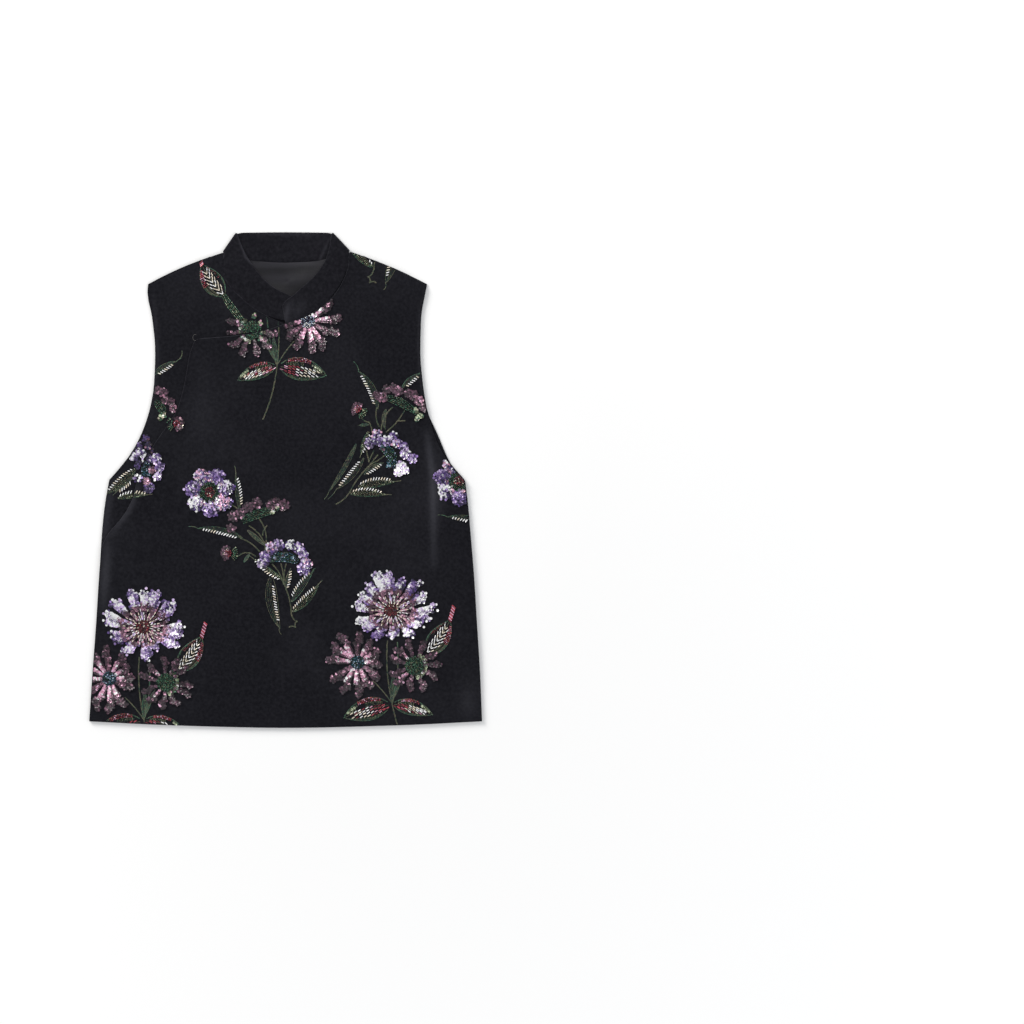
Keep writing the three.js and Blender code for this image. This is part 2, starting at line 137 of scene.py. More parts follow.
def places_across(left, right, columns):
    """Places across a row, close together inside both turned edges and even between them."""
    offsets = np.array(EDGE_OFFSETS) * min(1, 0.3 * (right - left) / EDGE_OFFSETS[-1])
    inner = np.linspace(left + offsets[-1], right - offsets[-1], columns + 1 - 2 * (len(offsets) - 1))
    return np.concatenate([left + offsets[:-1], inner, right - offsets[:-1][::-1]])


def rows_down(high, low, step, marks=()):
    """Row heights from high to low, with a row on each mark."""
    stops = sorted({high, low, *marks}, reverse=True)
    rows = [stops[0]]
    for top, bottom in zip(stops, stops[1:]):
        steps = max(1, math.ceil((top - bottom) / step))
        rows += [top + (bottom - top) * k / steps for k in range(1, steps + 1)]
    return np.array(rows)


def grid_piece(name, across, down, height):
    """A grid of cloth with its points at the given places, all arrays of rows by columns."""
    rows, columns = across.shape
    deselect()
    bpy.ops.mesh.primitive_grid_add(x_subdivisions=columns - 1, y_subdivisions=rows - 1, size=2)
    piece = bpy.context.object
    piece.name = piece.data.name = name
    flat = np.array([vertex.co[:] for vertex in piece.data.vertices])
    column = np.rint((flat[:, 0] + 1) / 2 * (columns - 1)).astype(int)
    row = np.rint((1 - flat[:, 1]) / 2 * (rows - 1)).astype(int)
    placed = np.stack([across[row, column], down[row, column], height[row, column]], axis=1) * MM
    piece.data.vertices.foreach_set("co", placed.ravel())
    piece.data.update()
    return piece


def apply_modifier(piece, kind, **settings):
    pick(piece)
    modifier = piece.modifiers.new(kind.title(), kind)
    for setting, value in settings.items():
        setattr(modifier, setting, value)
    bpy.ops.object.modifier_apply(modifier=modifier.name)


def give_wall(piece, thick, rounding):
    """Thickens a sheet downwards and rounds its rims, as a turned edge is."""
    pick(piece)
    edit_mesh(bpy.ops.mesh.remove_doubles, threshold=0.02 * MM)
    edit_mesh(bpy.ops.mesh.dissolve_degenerate, threshold=0.02 * MM)
    sheet_faces = len(piece.data.polygons)
    apply_modifier(piece, "SOLIDIFY", thickness=thick * MM, offset=-1)
    mesh = piece.data
    rim_faces = {polygon.index for polygon in mesh.polygons[2 * sheet_faces:]}
    touching = {}
    for polygon in mesh.polygons:
        for key in polygon.edge_keys:
            touching.setdefault(key, []).append(polygon.index in rim_faces)
    bpy.ops.object.mode_set(mode="EDIT")
    bpy.ops.mesh.select_mode(type="EDGE")
    bpy.ops.mesh.select_all(action="DESELECT")
    bpy.ops.object.mode_set(mode="OBJECT")
    for edge in mesh.edges:
        edge.select = sorted(touching[edge.key]) == [False, True]
    bpy.ops.object.mode_set(mode="EDIT")
    bpy.ops.mesh.bevel(offset=rounding * MM, segments=2, affect="EDGES")
    bpy.ops.mesh.select_mode(type="VERT")
    bpy.ops.object.mode_set(mode="OBJECT")
    bpy.ops.object.shade_smooth_by_angle(angle=math.radians(50))


def paint_sheen(piece, painted_highlights):
    """Stores a painted sheen, a paler colour where the pile would catch the light: on rims, and along the
    given lines.
    """
    mesh = piece.data
    points = np.empty(len(mesh.vertices) * 3)
    normals = np.empty(len(mesh.vertices) * 3)
    mesh.vertices.foreach_get("co", points)
    mesh.vertices.foreach_get("normal", normals)
    x, y, _ = (points.reshape(-1, 3) / MM).T
    bent = 1 - np.abs(normals.reshape(-1, 3)[:, 2])
    # Rims are painted paler as a sheen, the more so the steeper they slope.
    painted_sheen = RIM_SHEEN * smooth_step(0.02, 0.5, bent)
    for *corners, width, strength in painted_highlights:
        painted_sheen += strength * near_line(corners, width, x, y)
    brushed_and_sheen = mesh.attributes.new("painted_sheen", "FLOAT", "POINT")
    brushed_and_sheen.data.foreach_set("value", np.clip(painted_sheen, 0, 1))


def dress(piece, material, painted_highlights=()):
    """Paints a sheen on a sheet's pile and gives it its material."""
    paint_sheen(piece, painted_highlights)
    piece.data.materials.append(material)


def near_line(corners, width, x, y):
    """1 along a line bent through three points, fading to 0 at its width and at its ends."""
    nearest = np.full(x.shape, 1e9)
    along = np.zeros(x.shape)
    for half, ((ax, ay), (bx, by)) in enumerate(zip(corners, corners[1:])):
        run_x, run_y = bx - ax, by - ay
        share = np.clip(((x - ax) * run_x + (y - ay) * run_y) / (run_x**2 + run_y**2), 0, 1)
        gap = np.hypot(x - ax - run_x * share, y - ay - run_y * share)
        closer = gap < nearest
        nearest = np.where(closer, gap, nearest)
        along = np.where(closer, (half + share) / 2, along)
    ends = 0.12 + 0.76 * along
    return np.exp(-((nearest / width) ** 2)) * np.sin(math.pi * ends)


def feed(tree, node, sockets):
    """Gives a node's inputs their values, or links them to the outputs given in their place."""
    for name, value in sockets.items():
        if isinstance(value, bpy.types.NodeSocket):
            tree.links.new(value, node.inputs[name])
        else:
            node.inputs[name].default_value = value


def add_node(tree, kind, sockets=None, **settings):
    node = tree.nodes.new("ShaderNode" + kind)
    for name, value in settings.items():
        setattr(node, name, value)
    feed(tree, node, sockets or {})
    return node


def noise(tree, place, scale, detail):
    return add_node(tree, "TexNoise", {"Vector": place, "Scale": scale, "Detail": detail}).outputs["Fac"]


def rescaled(tree, value, new_range, old_range=(0, 1)):
    """A value moved from one range to another."""
    (from_low, from_high), (to_low, to_high) = old_range, new_range
    sockets = {"From Min": from_low, "From Max": from_high, "To Min": to_low, "To Max": to_high}
    return add_node(tree, "MapRange", {"Value": value, **sockets}).outputs["Result"]


def combined(tree, operation, first, second, clamp=False):
    return add_node(tree, "Math", {0: first, 1: second}, operation=operation, use_clamp=clamp).outputs[0]


def blended(tree, share, first, second):
    return add_node(tree, "Mix", {0: share, 6: first, 7: second}, data_type="RGBA").outputs[2]


def bumped(tree, height, strength, distance):
    sockets = {"Height": height, "Strength": strength, "Distance": distance}
    return add_node(tree, "Bump", sockets).outputs["Normal"]


def object_place(tree):
    return add_node(tree, "TexCoord").outputs["Object"]


def new_material(name):
    """A material, its node tree and its shader."""
    material = bpy.data.materials.new(name)
    material.use_nodes = True
    return material, material.node_tree, material.node_tree.nodes["Principled BSDF"]


def velvet_pile_group():
    """Velvet's surface: fine upright pile, cloudy brushing, and a painted sheen that makes the cloth paler
    where it is given.
    """
    group = bpy.data.node_groups.new("velvet pile", "ShaderNodeTree")
    for name, kind in (("Pile", "Color"), ("BrushedAndSheen", "Color"), ("PaintedSheen", "Float"), ("Clouds", "Float")):
        group.interface.new_socket(name, in_out="INPUT", socket_type="NodeSocket" + kind)
    for name, kind in (("Color", "Color"), ("Roughness", "Float"), ("Normal", "Vector")):
        group.interface.new_socket(name, in_out="OUTPUT", socket_type="NodeSocket" + kind)
    given = group.nodes.new("NodeGroupInput").outputs
    place = object_place(group)
    pile = noise(group, place, 1100.0, 2.0)
    tufts = noise(group, place, 260.0, 3.0)
    clouds = noise(group, place, 9.0, 3.0)
    cloudy = combined(group, "MULTIPLY", rescaled(group, clouds, (0, 1), (0.42, 0.72)), given["Clouds"])
    # The painted sheen and the cloudy brushing add up to how far the colour moves to the paler one.
    sheen_and_brushing = combined(group, "ADD", given["PaintedSheen"], cloudy)
    speckle = rescaled(group, tufts, (0, 0.16), (0.35, 0.75))
    share = combined(group, "ADD", sheen_and_brushing, speckle, clamp=True)
    made = {
        "Color": blended(group, share, given["Pile"], given["BrushedAndSheen"]),
        "Roughness": rescaled(group, share, (0.95, 0.72)),
        "Normal": bumped(group, combined(group, "ADD", pile, tufts), 0.35, 0.0004),
    }
    feed(group, group.nodes.new("NodeGroupOutput"), made)
    return group


def velvet_material(name, pile, brushed_and_sheen, clouds):
    material, tree, shader = new_material(name)
    # The painted sheen stored on the cloth lightens the pile's colour.
    painted_sheen = add_node(tree, "Attribute", attribute_name="painted_sheen").outputs["Fac"]
    surface = add_node(tree, "Group", node_tree=VELVET_PILE)
    feed(tree, surface, {"Pile": (*pile, 1), "BrushedAndSheen": (*brushed_and_sheen, 1), "Clouds": clouds, "PaintedSheen": painted_sheen})
    finish = {
        "Base Color": surface.outputs["Color"],
        "Roughness": surface.outputs["Roughness"],
        "Specular IOR Level": 0.12,
        "Sheen Weight": 0.05,
        "Sheen Roughness": 0.4,
        "Sheen Tint": (0.8, 0.8, 1.0, 1),
        "Normal": surface.outputs["Normal"],
    }
    feed(tree, shader, finish)
    return material


def turned_edges(across):
    """A shallow trough along both turned edges of a panel, from its distance to its edges."""
    left = across - across[:, :1]
    right = across[:, -1:] - across
    inside = np.minimum(left, right)
    return -TROUGH_DEPTH * np.exp(-(((inside - TURNED_EDGE) / TROUGH_WIDTH) ** 2))


VELVET_PILE = velvet_pile_group()
VELVET = velvet_material(
    "black velvet", pile=(0.0049, 0.0049, 0.0073), brushed_and_sheen=(0.045, 0.045, 0.055), clouds=0.1
)

back_triangles = triangles_of("back_panel")
hem_of_back = curve_of(back_triangles, 0, *HEM_CORNERS_X, count=60, side=0)
top_of_back = curve_of(back_triangles, 0, *SHOULDER_ENDS_X, count=90, side=1)
HEM_CORNER_Y = float(hem_of_back(HEM_CORNERS_X[0]))


def ease_to_hem(across, down):
    """Moves rows near the hem down so that the last one follows its bow."""
    share = np.clip((HEM_CORNER_Y + HEM_EASE - down) / HEM_EASE, 0, 1)
    return down + (hem_of_back(across) - HEM_CORNER_Y) * share


def hem_groove(down):
    """The row of stitches that holds the hem, a narrow trough parallel to the hem's row."""
    rise = down - HEM_CORNER_Y
    return -HEM_GROOVE_DEPTH * np.exp(-(((rise - HEM_STITCH_RISE) / HEM_GROOVE_WIDTH) ** 2))


HEM_MARKS = [HEM_CORNER_Y + HEM_STITCH_RISE + offset for offset in (-2.4, -1.2, 0, 1.2, 2.4)]
back_rows = rows_down(SHOULDER_POINT_Y, HEM_CORNER_Y, BACK_ROW_STEP, HEM_MARKS)
spans = [slice_through(back_triangles, 1, y) for y in np.clip(back_rows, HEM_CORNER_Y + 0.01, None)]
lower_across = np.array([places_across(left, right, BACK_COLUMNS) for left, right in spans])
lower_down = ease_to_hem(lower_across, np.repeat(back_rows[:, None], BACK_COLUMNS + 1, axis=1))
fan = np.linspace(1, 0, SHOULDER_ROWS, endpoint=False)[:, None]
upper_across = np.repeat(lower_across[:1], SHOULDER_ROWS, axis=0)
upper_down = SHOULDER_POINT_Y + (top_of_back(upper_across) - SHOULDER_POINT_Y) * fan
across = np.concatenate([upper_across, lower_across])
down = np.concatenate([upper_down, lower_down])
back_panel = grid_piece("back_velvet", across, down, np.full(across.shape, BACK_UNDERSIDE + BACK_THICK))
give_wall(back_panel, BACK_THICK, BACK_ROUNDING)
dress(back_panel, VELVET)
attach(back_panel, "root")
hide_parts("back_panel")

# Back neck lining. Grey satin inside the back of the neck, the only lining that shows.
# It hangs slack from the collar seam, with a soft cross fold and a few drag lines.
# Folds, creases and painted highlights are each given as three points of a line, its width and its height or
# strength.
SATIN_STEP = 3.2
SATIN_SAG = 0.12
SATIN_FOLDS = [
    ((-46, 268), (2, 272), (50, 275), 3.2, -0.3),
    ((-30, 282), (-16, 262), (0, 240), 4.5, 0.28),
    ((34, 283), (24, 262), (10, 240), 3.8, 0.25),
    ((-2, 281), (3, 262), (4, 244), 3.4, -0.22),
]
# Painted highlights: a paler band below the collar seam and a wider one lower down, painted as if the satin
# were lit there.
SATIN_PAINTED_HIGHLIGHTS = [
    ((-56, 280), (0, 281), (58, 282), 4.2, 0.75),
    ((-34, 262), (0, 262), (36, 264), 7, 0.5),
]


def copy_of_node(name, node):
    """A merged copy of a node's mesh as a new piece."""
    piece = bpy.data.objects.new(name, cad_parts[node].data.copy())
    piece.data.name = name
    bpy.context.scene.collection.objects.link(piece)
    piece.data.materials.clear()
    pick(piece)
    edit_mesh(bpy.ops.mesh.remove_doubles, threshold=0.005 * MM)
    return piece


def slice_into_strips(piece, axis, step):
    """Cuts a flat piece by parallel planes, so that its faces can bend."""
    at = [vertex.co[axis] for vertex in piece.data.vertices]
    count = int((max(at) - min(at)) / (step * MM))
    pick(piece)
    bpy.ops.object.mode_set(mode="EDIT")
    for k in range(1, count + 1):
        plane = [0.0, 0.0, 0.0]
        normal = [0.0, 0.0, 0.0]
        plane[axis] = min(at) + (k - 0.37) * step * MM
        normal[axis] = 1.0
        bpy.ops.mesh.select_all(action="SELECT")
        bpy.ops.mesh.bisect(plane_co=plane, plane_no=normal)
    bpy.ops.object.mode_set(mode="OBJECT")


def satin_material():
    """Dark satin with fine threads and long slubs, paler where a painted highlight is given."""
    material, tree, shader = new_material("grey satin")
    place = object_place(tree)
    waves = {"Vector": place, "Scale": 900.0, "Distortion": 1.5}
    threads = add_node(tree, "TexWave", waves, bands_direction="Y").outputs["Fac"]
    stretched = add_node(tree, "Mapping", {"Vector": place, "Scale": (1, 6, 1)}).outputs["Vector"]
    slubs = noise(tree, stretched, 40.0, 3.0)
    lit = add_node(tree, "Attribute", attribute_name="painted_sheen").outputs["Fac"]
    share = combined(tree, "ADD", lit, rescaled(tree, slubs, (-0.1, 0.25)), clamp=True)
    finish = {
        "Base Color": blended(tree, share, (0.0058, 0.0055, 0.0074, 1), (0.027, 0.026, 0.033, 1)),
        "Roughness": rescaled(tree, slubs, (0.36, 0.52)),
        "Specular IOR Level": 0.3,
        "Anisotropic": 0.5,
        "Normal": bumped(tree, threads, 0.12, 0.0002),
    }
    feed(tree, shader, finish)
    return material


neck_lining = copy_of_node("neck_satin", "back_neck_lining")
edit_mesh(bpy.ops.mesh.dissolve_limited, angle_limit=math.radians(2))
slice_into_strips(neck_lining, 0, SATIN_STEP)
slice_into_strips(neck_lining, 1, SATIN_STEP)
lining_low, lining_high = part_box("back_neck_lining")
for vertex in neck_lining.data.vertices:
    if vertex.co.z > (lining_low[2] + lining_high[2]) / 2:
        x, y = np.array([vertex.co.x / MM]), np.array([vertex.co.y / MM])
        rise = sum(height * near_line(corners, width, x, y)[0] for *corners, width, height in SATIN_FOLDS)
        vertex.co.z += (rise - SATIN_SAG) * MM
pick(neck_lining)
bpy.ops.object.shade_smooth_by_angle(angle=math.radians(40))
dress(neck_lining, satin_material(), SATIN_PAINTED_HIGHLIGHTS)
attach(neck_lining, "root")
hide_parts("back_neck_lining")

# Under front. The velvet front at the viewer's left, which the lap covers from the neck to the side seam.
# Its armhole and shoulder show; its free edge ends under the lap.
UNDER_COLUMNS = 64
UNDER_ROW_STEP = 3.6
FRONT_THICK = 1.5
FRONT_ROUNDING = 0.55
ABOVE_UNDERSIDE = 0.12
INWARD_ACROSS = 0.02
INWARD_DOWN = 0.1
TOP_TRIM = 6.0
SHOULDER_EASE = 20.0
NECK_EASE = 30.0
UNDER_COLLAR_PULL = (2.95, 264, 293.4)


def tree_of(triangles):
    """A search tree of triangles, for rays cast in millimetres."""
    points = triangles.reshape(-1, 3)
    faces = np.arange(len(points)).reshape(-1, 3)
    return BVHTree.FromPolygons(points.tolist(), faces.tolist())


def undersides(triangles, across, down):
    """Height of a node's underside below each point of a grid, read a little inside its rims."""
    tree = tree_of(triangles)
    heights = np.empty(across.shape)
    rows, columns = across.shape
    middle_column = columns // 2
    for i in range(rows):
        inward_row = min(max(i, 1), rows - 2)
        for j in range(columns):
            x = across[i, j] * (1 - INWARD_ACROSS) + across[i, middle_column] * INWARD_ACROSS
            y = down[i, j] * (1 - INWARD_DOWN) + down[inward_row, j] * INWARD_DOWN
            hit = tree.ray_cast(Vector((x, y, -5)), Vector((0, 0, 1)))[0]
            if hit is None:
                hit = tree.find_nearest(Vector((x, y, 0)))[0]
            heights[i, j] = hit.z
    return heights


def relaxed(heights, turns):
    """Evens out a grid of heights, rims held by their neighbours."""
    for _ in range(turns):
        padded = np.pad(heights, 1, mode="edge")
        rows = (padded[:-2, 1:-1] + 2 * padded[1:-1, 1:-1] + padded[2:, 1:-1]) / 4
        padded = np.pad(rows, 1, mode="edge")
        heights = (padded[1:-1, :-2] + 2 * padded[1:-1, 1:-1] + padded[1:-1, 2:]) / 4
    return heights


def front_grid(node, columns, step, marks, bottom):
    """A front's triangles, with its places across and places down row by row."""
    triangles = triangles_of(node)
    top = triangles[:, :, 1].max() - TOP_TRIM
    rows = rows_down(top, bottom, step, marks)
    spans = [slice_through(triangles, 1, y) for y in np.clip(rows, bottom + 0.02, top)]
    across = np.array([places_across(left, right, columns) for left, right in spans])
    down = np.repeat(rows[:, None], columns + 1, axis=1)
    return triangles, across, down


def ease_to_shoulder(triangles, across, down):
    """Moves rows near a front's top up so that the first one follows its shoulder."""
    shoulder = curve_of(triangles, 0, across[0].min(), across[0].max(), count=12, side=1)
    share = np.clip((down - down[:1] + SHOULDER_EASE) / SHOULDER_EASE, 0, 1)
    rise = shoulder(np.clip(across, across[0].min(), across[0].max())) - down[0, 0]
    inside = (across >= across[0].min()) & (across <= across[0].max())
    return down + np.where(inside, np.maximum(rise, 0), 0) * share


def ease_to_collar(across, down, neck_column, collar_pull):
    """Draws a front's neck edge across to the collar's fold, more so from a low place up to a high one."""
    reach, low, high = collar_pull
    to_neck = np.abs(across - across[:, neck_column][:, None])
    pull = reach * np.clip((down - low) / (high - low), 0, 1)
    return across + pull * np.clip(1 - to_neck / NECK_EASE, 0, 1)


# Painted highlights, lines where the velvet is painted paler as if lit, each given as three points of a line,
# its width and its strength.
UNDER_PAINTED_HIGHLIGHTS = [
    ((-172, 240), (-166, 160), (-176, 80), 2.2, 0.22),
    ((-226, 0), (-232, -40), (-236, -84), 5, 0.3),
    ((-90, 262), (-78, 230), (-60, 205), 9, 0.1),
]
under_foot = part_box("under_front")[0][1] / MM + 0.1
triangles, across, down = front_grid(
    "under_front", UNDER_COLUMNS, UNDER_ROW_STEP, [SHOULDER_POINT_Y], under_foot
)
down = ease_to_shoulder(triangles, across, down)
height = relaxed(undersides(triangles, across, down), turns=3) + turned_edges(across) * (down > 0)
across = ease_to_collar(across, down, -1, UNDER_COLLAR_PULL)
under_front = grid_piece("under_front_velvet", across, down, height + FRONT_THICK + ABOVE_UNDERSIDE)
give_wall(under_front, FRONT_THICK, FRONT_ROUNDING)
dress(under_front, VELVET, UNDER_PAINTED_HIGHLIGHTS)
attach(under_front, "root")
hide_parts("under_front")

# Lap front. The velvet front at the viewer's right, which crosses the chest and closes down the left side.
# Its free edge runs level from the collar to a soft corner, then down.
# Soft creases show that it is laid, not pressed.
LAP_COLUMNS = 150
LAP_ROW_STEP = 3.4
LAP_COLLAR_PULL = (-2.0, 279, 296)
LAP_TOP_MARKS = [203.3, 197, 189.8, 185.9, 184, 183, 182, 180.7]
LAP_CREASES = [
    ((185, 58), (193, 0), (191, -95), 5.5, 0.9),
    ((206, 30), (212, -30), (214, -130), 9, -0.7),
    ((-128, 168), (-132, 120), (-148, 70), 5, 0.5),
    ((-178, 20), (-190, -30), (-206, -70), 7, 0.7),
    ((-226, -95), (-230, -170), (-238, -260), 9, 0.6),
    ((-60, 160), (-20, 90), (30, 10), 22, 0.55),
    ((60, -40), (74, -120), (70, -220), 16, -0.6),
    ((-40, -150), (-20, -215), (-26, -270), 13, -0.5),
    ((150, 200), (160, 160), (168, 110), 8, 0.4),
    ((30, -262), (44, -285), (46, -310), 8, 0.45),
    ((196, -240), (206, -270), (210, -300), 9, 0.5),
]
# Painted highlights, lines where the velvet is painted paler as if lit, each given as three points of a line,
# its width and its strength.
LAP_PAINTED_HIGHLIGHTS = [
    ((184, 62), (192, 0), (193, -110), 4.5, 0.5),
    ((196, 40), (198, -20), (197, -60), 11, 0.2),
    ((-188, 0), (-204, -40), (-228, -72), 4, 0.4),
    ((-232, -80), (-234, -120), (-238, -170), 6, 0.45),
    ((240, -270), (236, -290), (240, -308), 10, 0.16),
    ((-110, 160), (-104, 110), (-112, 60), 16, 0.09),
    ((40, 190), (70, 170), (90, 120), 24, 0.06),
    ((174, 232), (172, 170), (178, 100), 2, 0.16),
]
triangles, across, down = front_grid(
    "lap_front", LAP_COLUMNS, LAP_ROW_STEP, HEM_MARKS + LAP_TOP_MARKS, HEM_CORNER_Y
)
settled = ease_to_shoulder(triangles, across, ease_to_hem(across, down))
height = relaxed(undersides(triangles, across, settled), turns=6)
for *corners, width, rise in LAP_CREASES:
    height += rise * near_line(corners, width, across, settled)
height += hem_groove(down) + turned_edges(across) * (down > 0)
across = ease_to_collar(across, settled, 0, LAP_COLLAR_PULL)
lap_front = grid_piece("lap_front_velvet", across, settled, height + FRONT_THICK + ABOVE_UNDERSIDE)
give_wall(lap_front, FRONT_THICK, FRONT_ROUNDING)
dress(lap_front, VELVET, LAP_PAINTED_HIGHLIGHTS)
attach(lap_front, "root")
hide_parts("lap_front")

# Stand collar. A band of doubled velvet sewn round the neck, folded flat at both sides.
# The right half's end lies over the left half's, and its stiff edge has a painted sheen.
# Painted highlights on the collar, each given as three points of a line, its width and its strength.
COLLAR_PAINTED_HIGHLIGHTS = [
    ((-36, 278), (-26, 262), (-12, 251), 2.2, 0.5),
    ((1, 205), (1, 216), (6, 232), 4, 0.34),
    ((9, 212), (16, 222), (26, 236), 8, 0.16),
    ((-63, 320), (-52, 290), (-14, 250), 1.6, 0.4),
    ((60, 320), (44, 286), (14, 246), 1.6, 0.25),
    ((-40, 320), (0, 320), (40, 320), 2.5, 0.18),
]
SEAM_REACH = 1.2
SEAM_STEEPNESS = 0.8
SEAM_SHARE = 0.96


def draw_to_seam(piece, neighbours):
    """Moves a piece's edge onto the cloth it is sewn to, where that is close beside it."""
    for neighbour in neighbours:
        points = [(vertex.co / MM)[:] for vertex in neighbour.data.vertices]
        tree = BVHTree.FromPolygons(points, [polygon.vertices[:] for polygon in neighbour.data.polygons])
        for vertex in piece.data.vertices:
            place = vertex.co / MM
            near, _, _, gap = tree.find_nearest(place, SEAM_REACH)
            if near is None or abs(near.z - place.z) > SEAM_STEEPNESS * gap:
                continue
            vertex.co += (near - place) * SEAM_SHARE * MM


COLLAR_VELVET = velvet_material(
    "collar velvet", pile=(0.0054, 0.0053, 0.0078), brushed_and_sheen=(0.05, 0.049, 0.06), clouds=0.07
)
stand_collar = copy_of_node("collar_velvet", "stand_collar")
quads = bpy.ops.mesh.tris_convert_to_quads
edit_mesh(quads, face_threshold=math.radians(60), shape_threshold=math.radians(80))
apply_modifier(stand_collar, "SUBSURF", levels=2, render_levels=2)
bpy.ops.object.shade_smooth()
draw_to_seam(stand_collar, [under_front, lap_front, back_panel])
dress(stand_collar, COLLAR_VELVET, COLLAR_PAINTED_HIGHLIGHTS)
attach(stand_collar, "root")
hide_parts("stand_collar")

# Thread loop. A bar of twisted thread at the lap's corner, where a hook on the under front catches it.
# It lies on the velvet, and its height is read from the cloth below each of its points.


def dyed(red, green, blue):
    """A colour given as screen values from 0 to 255."""
    return tuple(((value / 255 + 0.055) / 1.055) ** 2.4 for value in (red, green, blue))


def tinted_material(name, roughness, metallic, coat, grain, unevenness):
    """A finish whose colour is each small piece's own, a little uneven, with a fine grain."""
    material, tree, shader = new_material(name)
    uneven = noise(tree, object_place(tree), grain, 2.0)
    tint = add_node(tree, "Attribute", attribute_name="tint").outputs["Color"]
    shade = rescaled(tree, uneven, (1 - unevenness, 1 + unevenness))
    colour = add_node(tree, "VectorMath", {0: tint, "Scale": shade}, operation="SCALE")
    finish = {
        "Base Color": colour.outputs[0],
        "Roughness": rescaled(tree, uneven, (roughness * 0.75, roughness * 1.25)),
        "Metallic": metallic,
        "Coat Weight": coat,
        "Coat Roughness": 0.08,
        "Normal": bumped(tree, uneven, 0.15, 0.0001),
    }
    feed(tree, shader, finish)
    return material


def paint_tint(piece, colours):
    """Stores one colour for each vertex of a piece."""
    tint = piece.data.color_attributes.new("tint", "FLOAT_COLOR", "POINT")
    opaque = np.concatenate([colours, np.ones((len(colours), 1))], axis=1)
    tint.data.foreach_set("color", opaque.ravel())


class Cloth:
    """Everything sewn so far, seen from one side, for finding where a needle meets it."""

    def __init__(self, pieces, side):
        points, faces, self.owner = [], [], []
        for piece in pieces:
            start = len(points)
            points += [(vertex.co / MM)[:] for vertex in piece.data.vertices]
            for polygon in piece.data.polygons:
                faces.append([start + index for index in polygon.vertices])
                self.owner.append(piece.name)
        self.tree = BVHTree.FromPolygons(points, faces)
        self.start, self.down = (50.0, -1.0) if side == "front" else (-50.0, 1.0)

    def under(self, x, y):
        """Name of the piece that the needle meets first, the place and the way the cloth faces."""
        place, normal, index, _ = self.tree.ray_cast(Vector((x, y, self.start)), Vector((0, 0, self.down)))
        if place is None:
            return None, None, None
        return self.owner[index], place, normal


FRONT_CLOTH = Cloth([back_panel, neck_lining, under_front, lap_front, stand_collar], "front")
THREAD = tinted_material(
    "embroidery thread", roughness=0.55, metallic=0.0, coat=0.0, grain=2500.0, unevenness=0.35
)
LOOP_POINTS = [(-116.2, 189), (-119, 188.6), (-120.6, 185.6), (-119.6, 182.4), (-116.6, 181.2)]
LOOP_THICK = 0.36
deselect()
bpy.ops.curve.primitive_bezier_curve_add()
thread_loop = bpy.context.object
thread_loop.name = "thread_loop"
strand = thread_loop.data
strand.splines[0].bezier_points.add(len(LOOP_POINTS) - 2)
for point, (x, y) in zip(strand.splines[0].bezier_points, LOOP_POINTS):
    lies_on = FRONT_CLOTH.under(x, y)[1]
    point.co = Vector((x, y, lies_on.z + LOOP_THICK / 2)) * MM
    point.handle_left_type = point.handle_right_type = "AUTO"
strand.bevel_depth = LOOP_THICK / 2 * MM
strand.bevel_resolution = 2
strand.resolution_u = 6
strand.use_fill_caps = True
bpy.ops.object.convert(target="MESH")
thread_loop = bpy.context.object
paint_tint(thread_loop, np.tile(dyed(96, 94, 92), (len(thread_loop.data.vertices), 1)))
thread_loop.data.materials.append(THREAD)
bpy.ops.object.shade_smooth()
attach(thread_loop, "root")

# Sequin flowers. Cup sequins, seed beads, bugle beads and thread, sewn on by hand in three repeating sprays.
# Each spray is drawn flat in its own millimetres and then laid on the cloth.
# What a seam would cut is left off.
SEAM_MARGIN = 0.5
BACK_FLATTENING = 0.35
LOWEST_STITCH = 0.02
DYES = {
    "white": dyed(255, 250, 255),
    "lilac": dyed(204, 182, 224),
    "violet": dyed(136, 110, 170),
    "purple": dyed(84, 62, 122),
    "ink": dyed(42, 34, 64),
    "blush": dyed(228, 172, 198),
    "pink": dyed(166, 114, 136),
    "mauve": dyed(112, 76, 96),
    "plum": dyed(78, 52, 66),
    "grape": dyed(44, 33, 41),
    "red": dyed(166, 66, 78),
    "wine": dyed(108, 38, 50),
    "brown": dyed(84, 52, 46),
    "cream": dyed(232, 220, 200),
    "leaf": dyed(64, 104, 80),
    "fir": dyed(33, 60, 48),
    "moss": dyed(84, 92, 68),
    "olive": dyed(104, 100, 80),
    "sage": dyed(168, 180, 148),
    "teal": dyed(40, 84, 98),
    "ice": dyed(166, 184, 208),
}
# The next four tone sets are lilac sequins painted glinting, lit, half lit and in shade; white is a painted
# glint and ink painted shade.
GLINTING_LILAC = {"white": 12, "lilac": 2}
LIT_LILAC = {"lilac": 6, "white": 6, "violet": 1}
HALF_LIT_LILAC = {"violet": 5, "lilac": 4, "purple": 3, "white": 1}
SHADED_LILAC = {"purple": 5, "violet": 1, "ink": 6}
# ROSY and ROSE are rosy sequins painted lit; SHADED and DARK are plum sequins partly painted in shade, and
# blush in DARK is a rare painted glint.
ROSE = {"blush": 7, "pink": 3, "white": 2}
DUSTY = {"pink": 4, "mauve": 4, "blush": 2, "plum": 2}
SHADED = {"mauve": 3, "plum": 5, "grape": 3}
DARK = {"plum": 5, "mauve": 3, "grape": 6, "blush": 1}
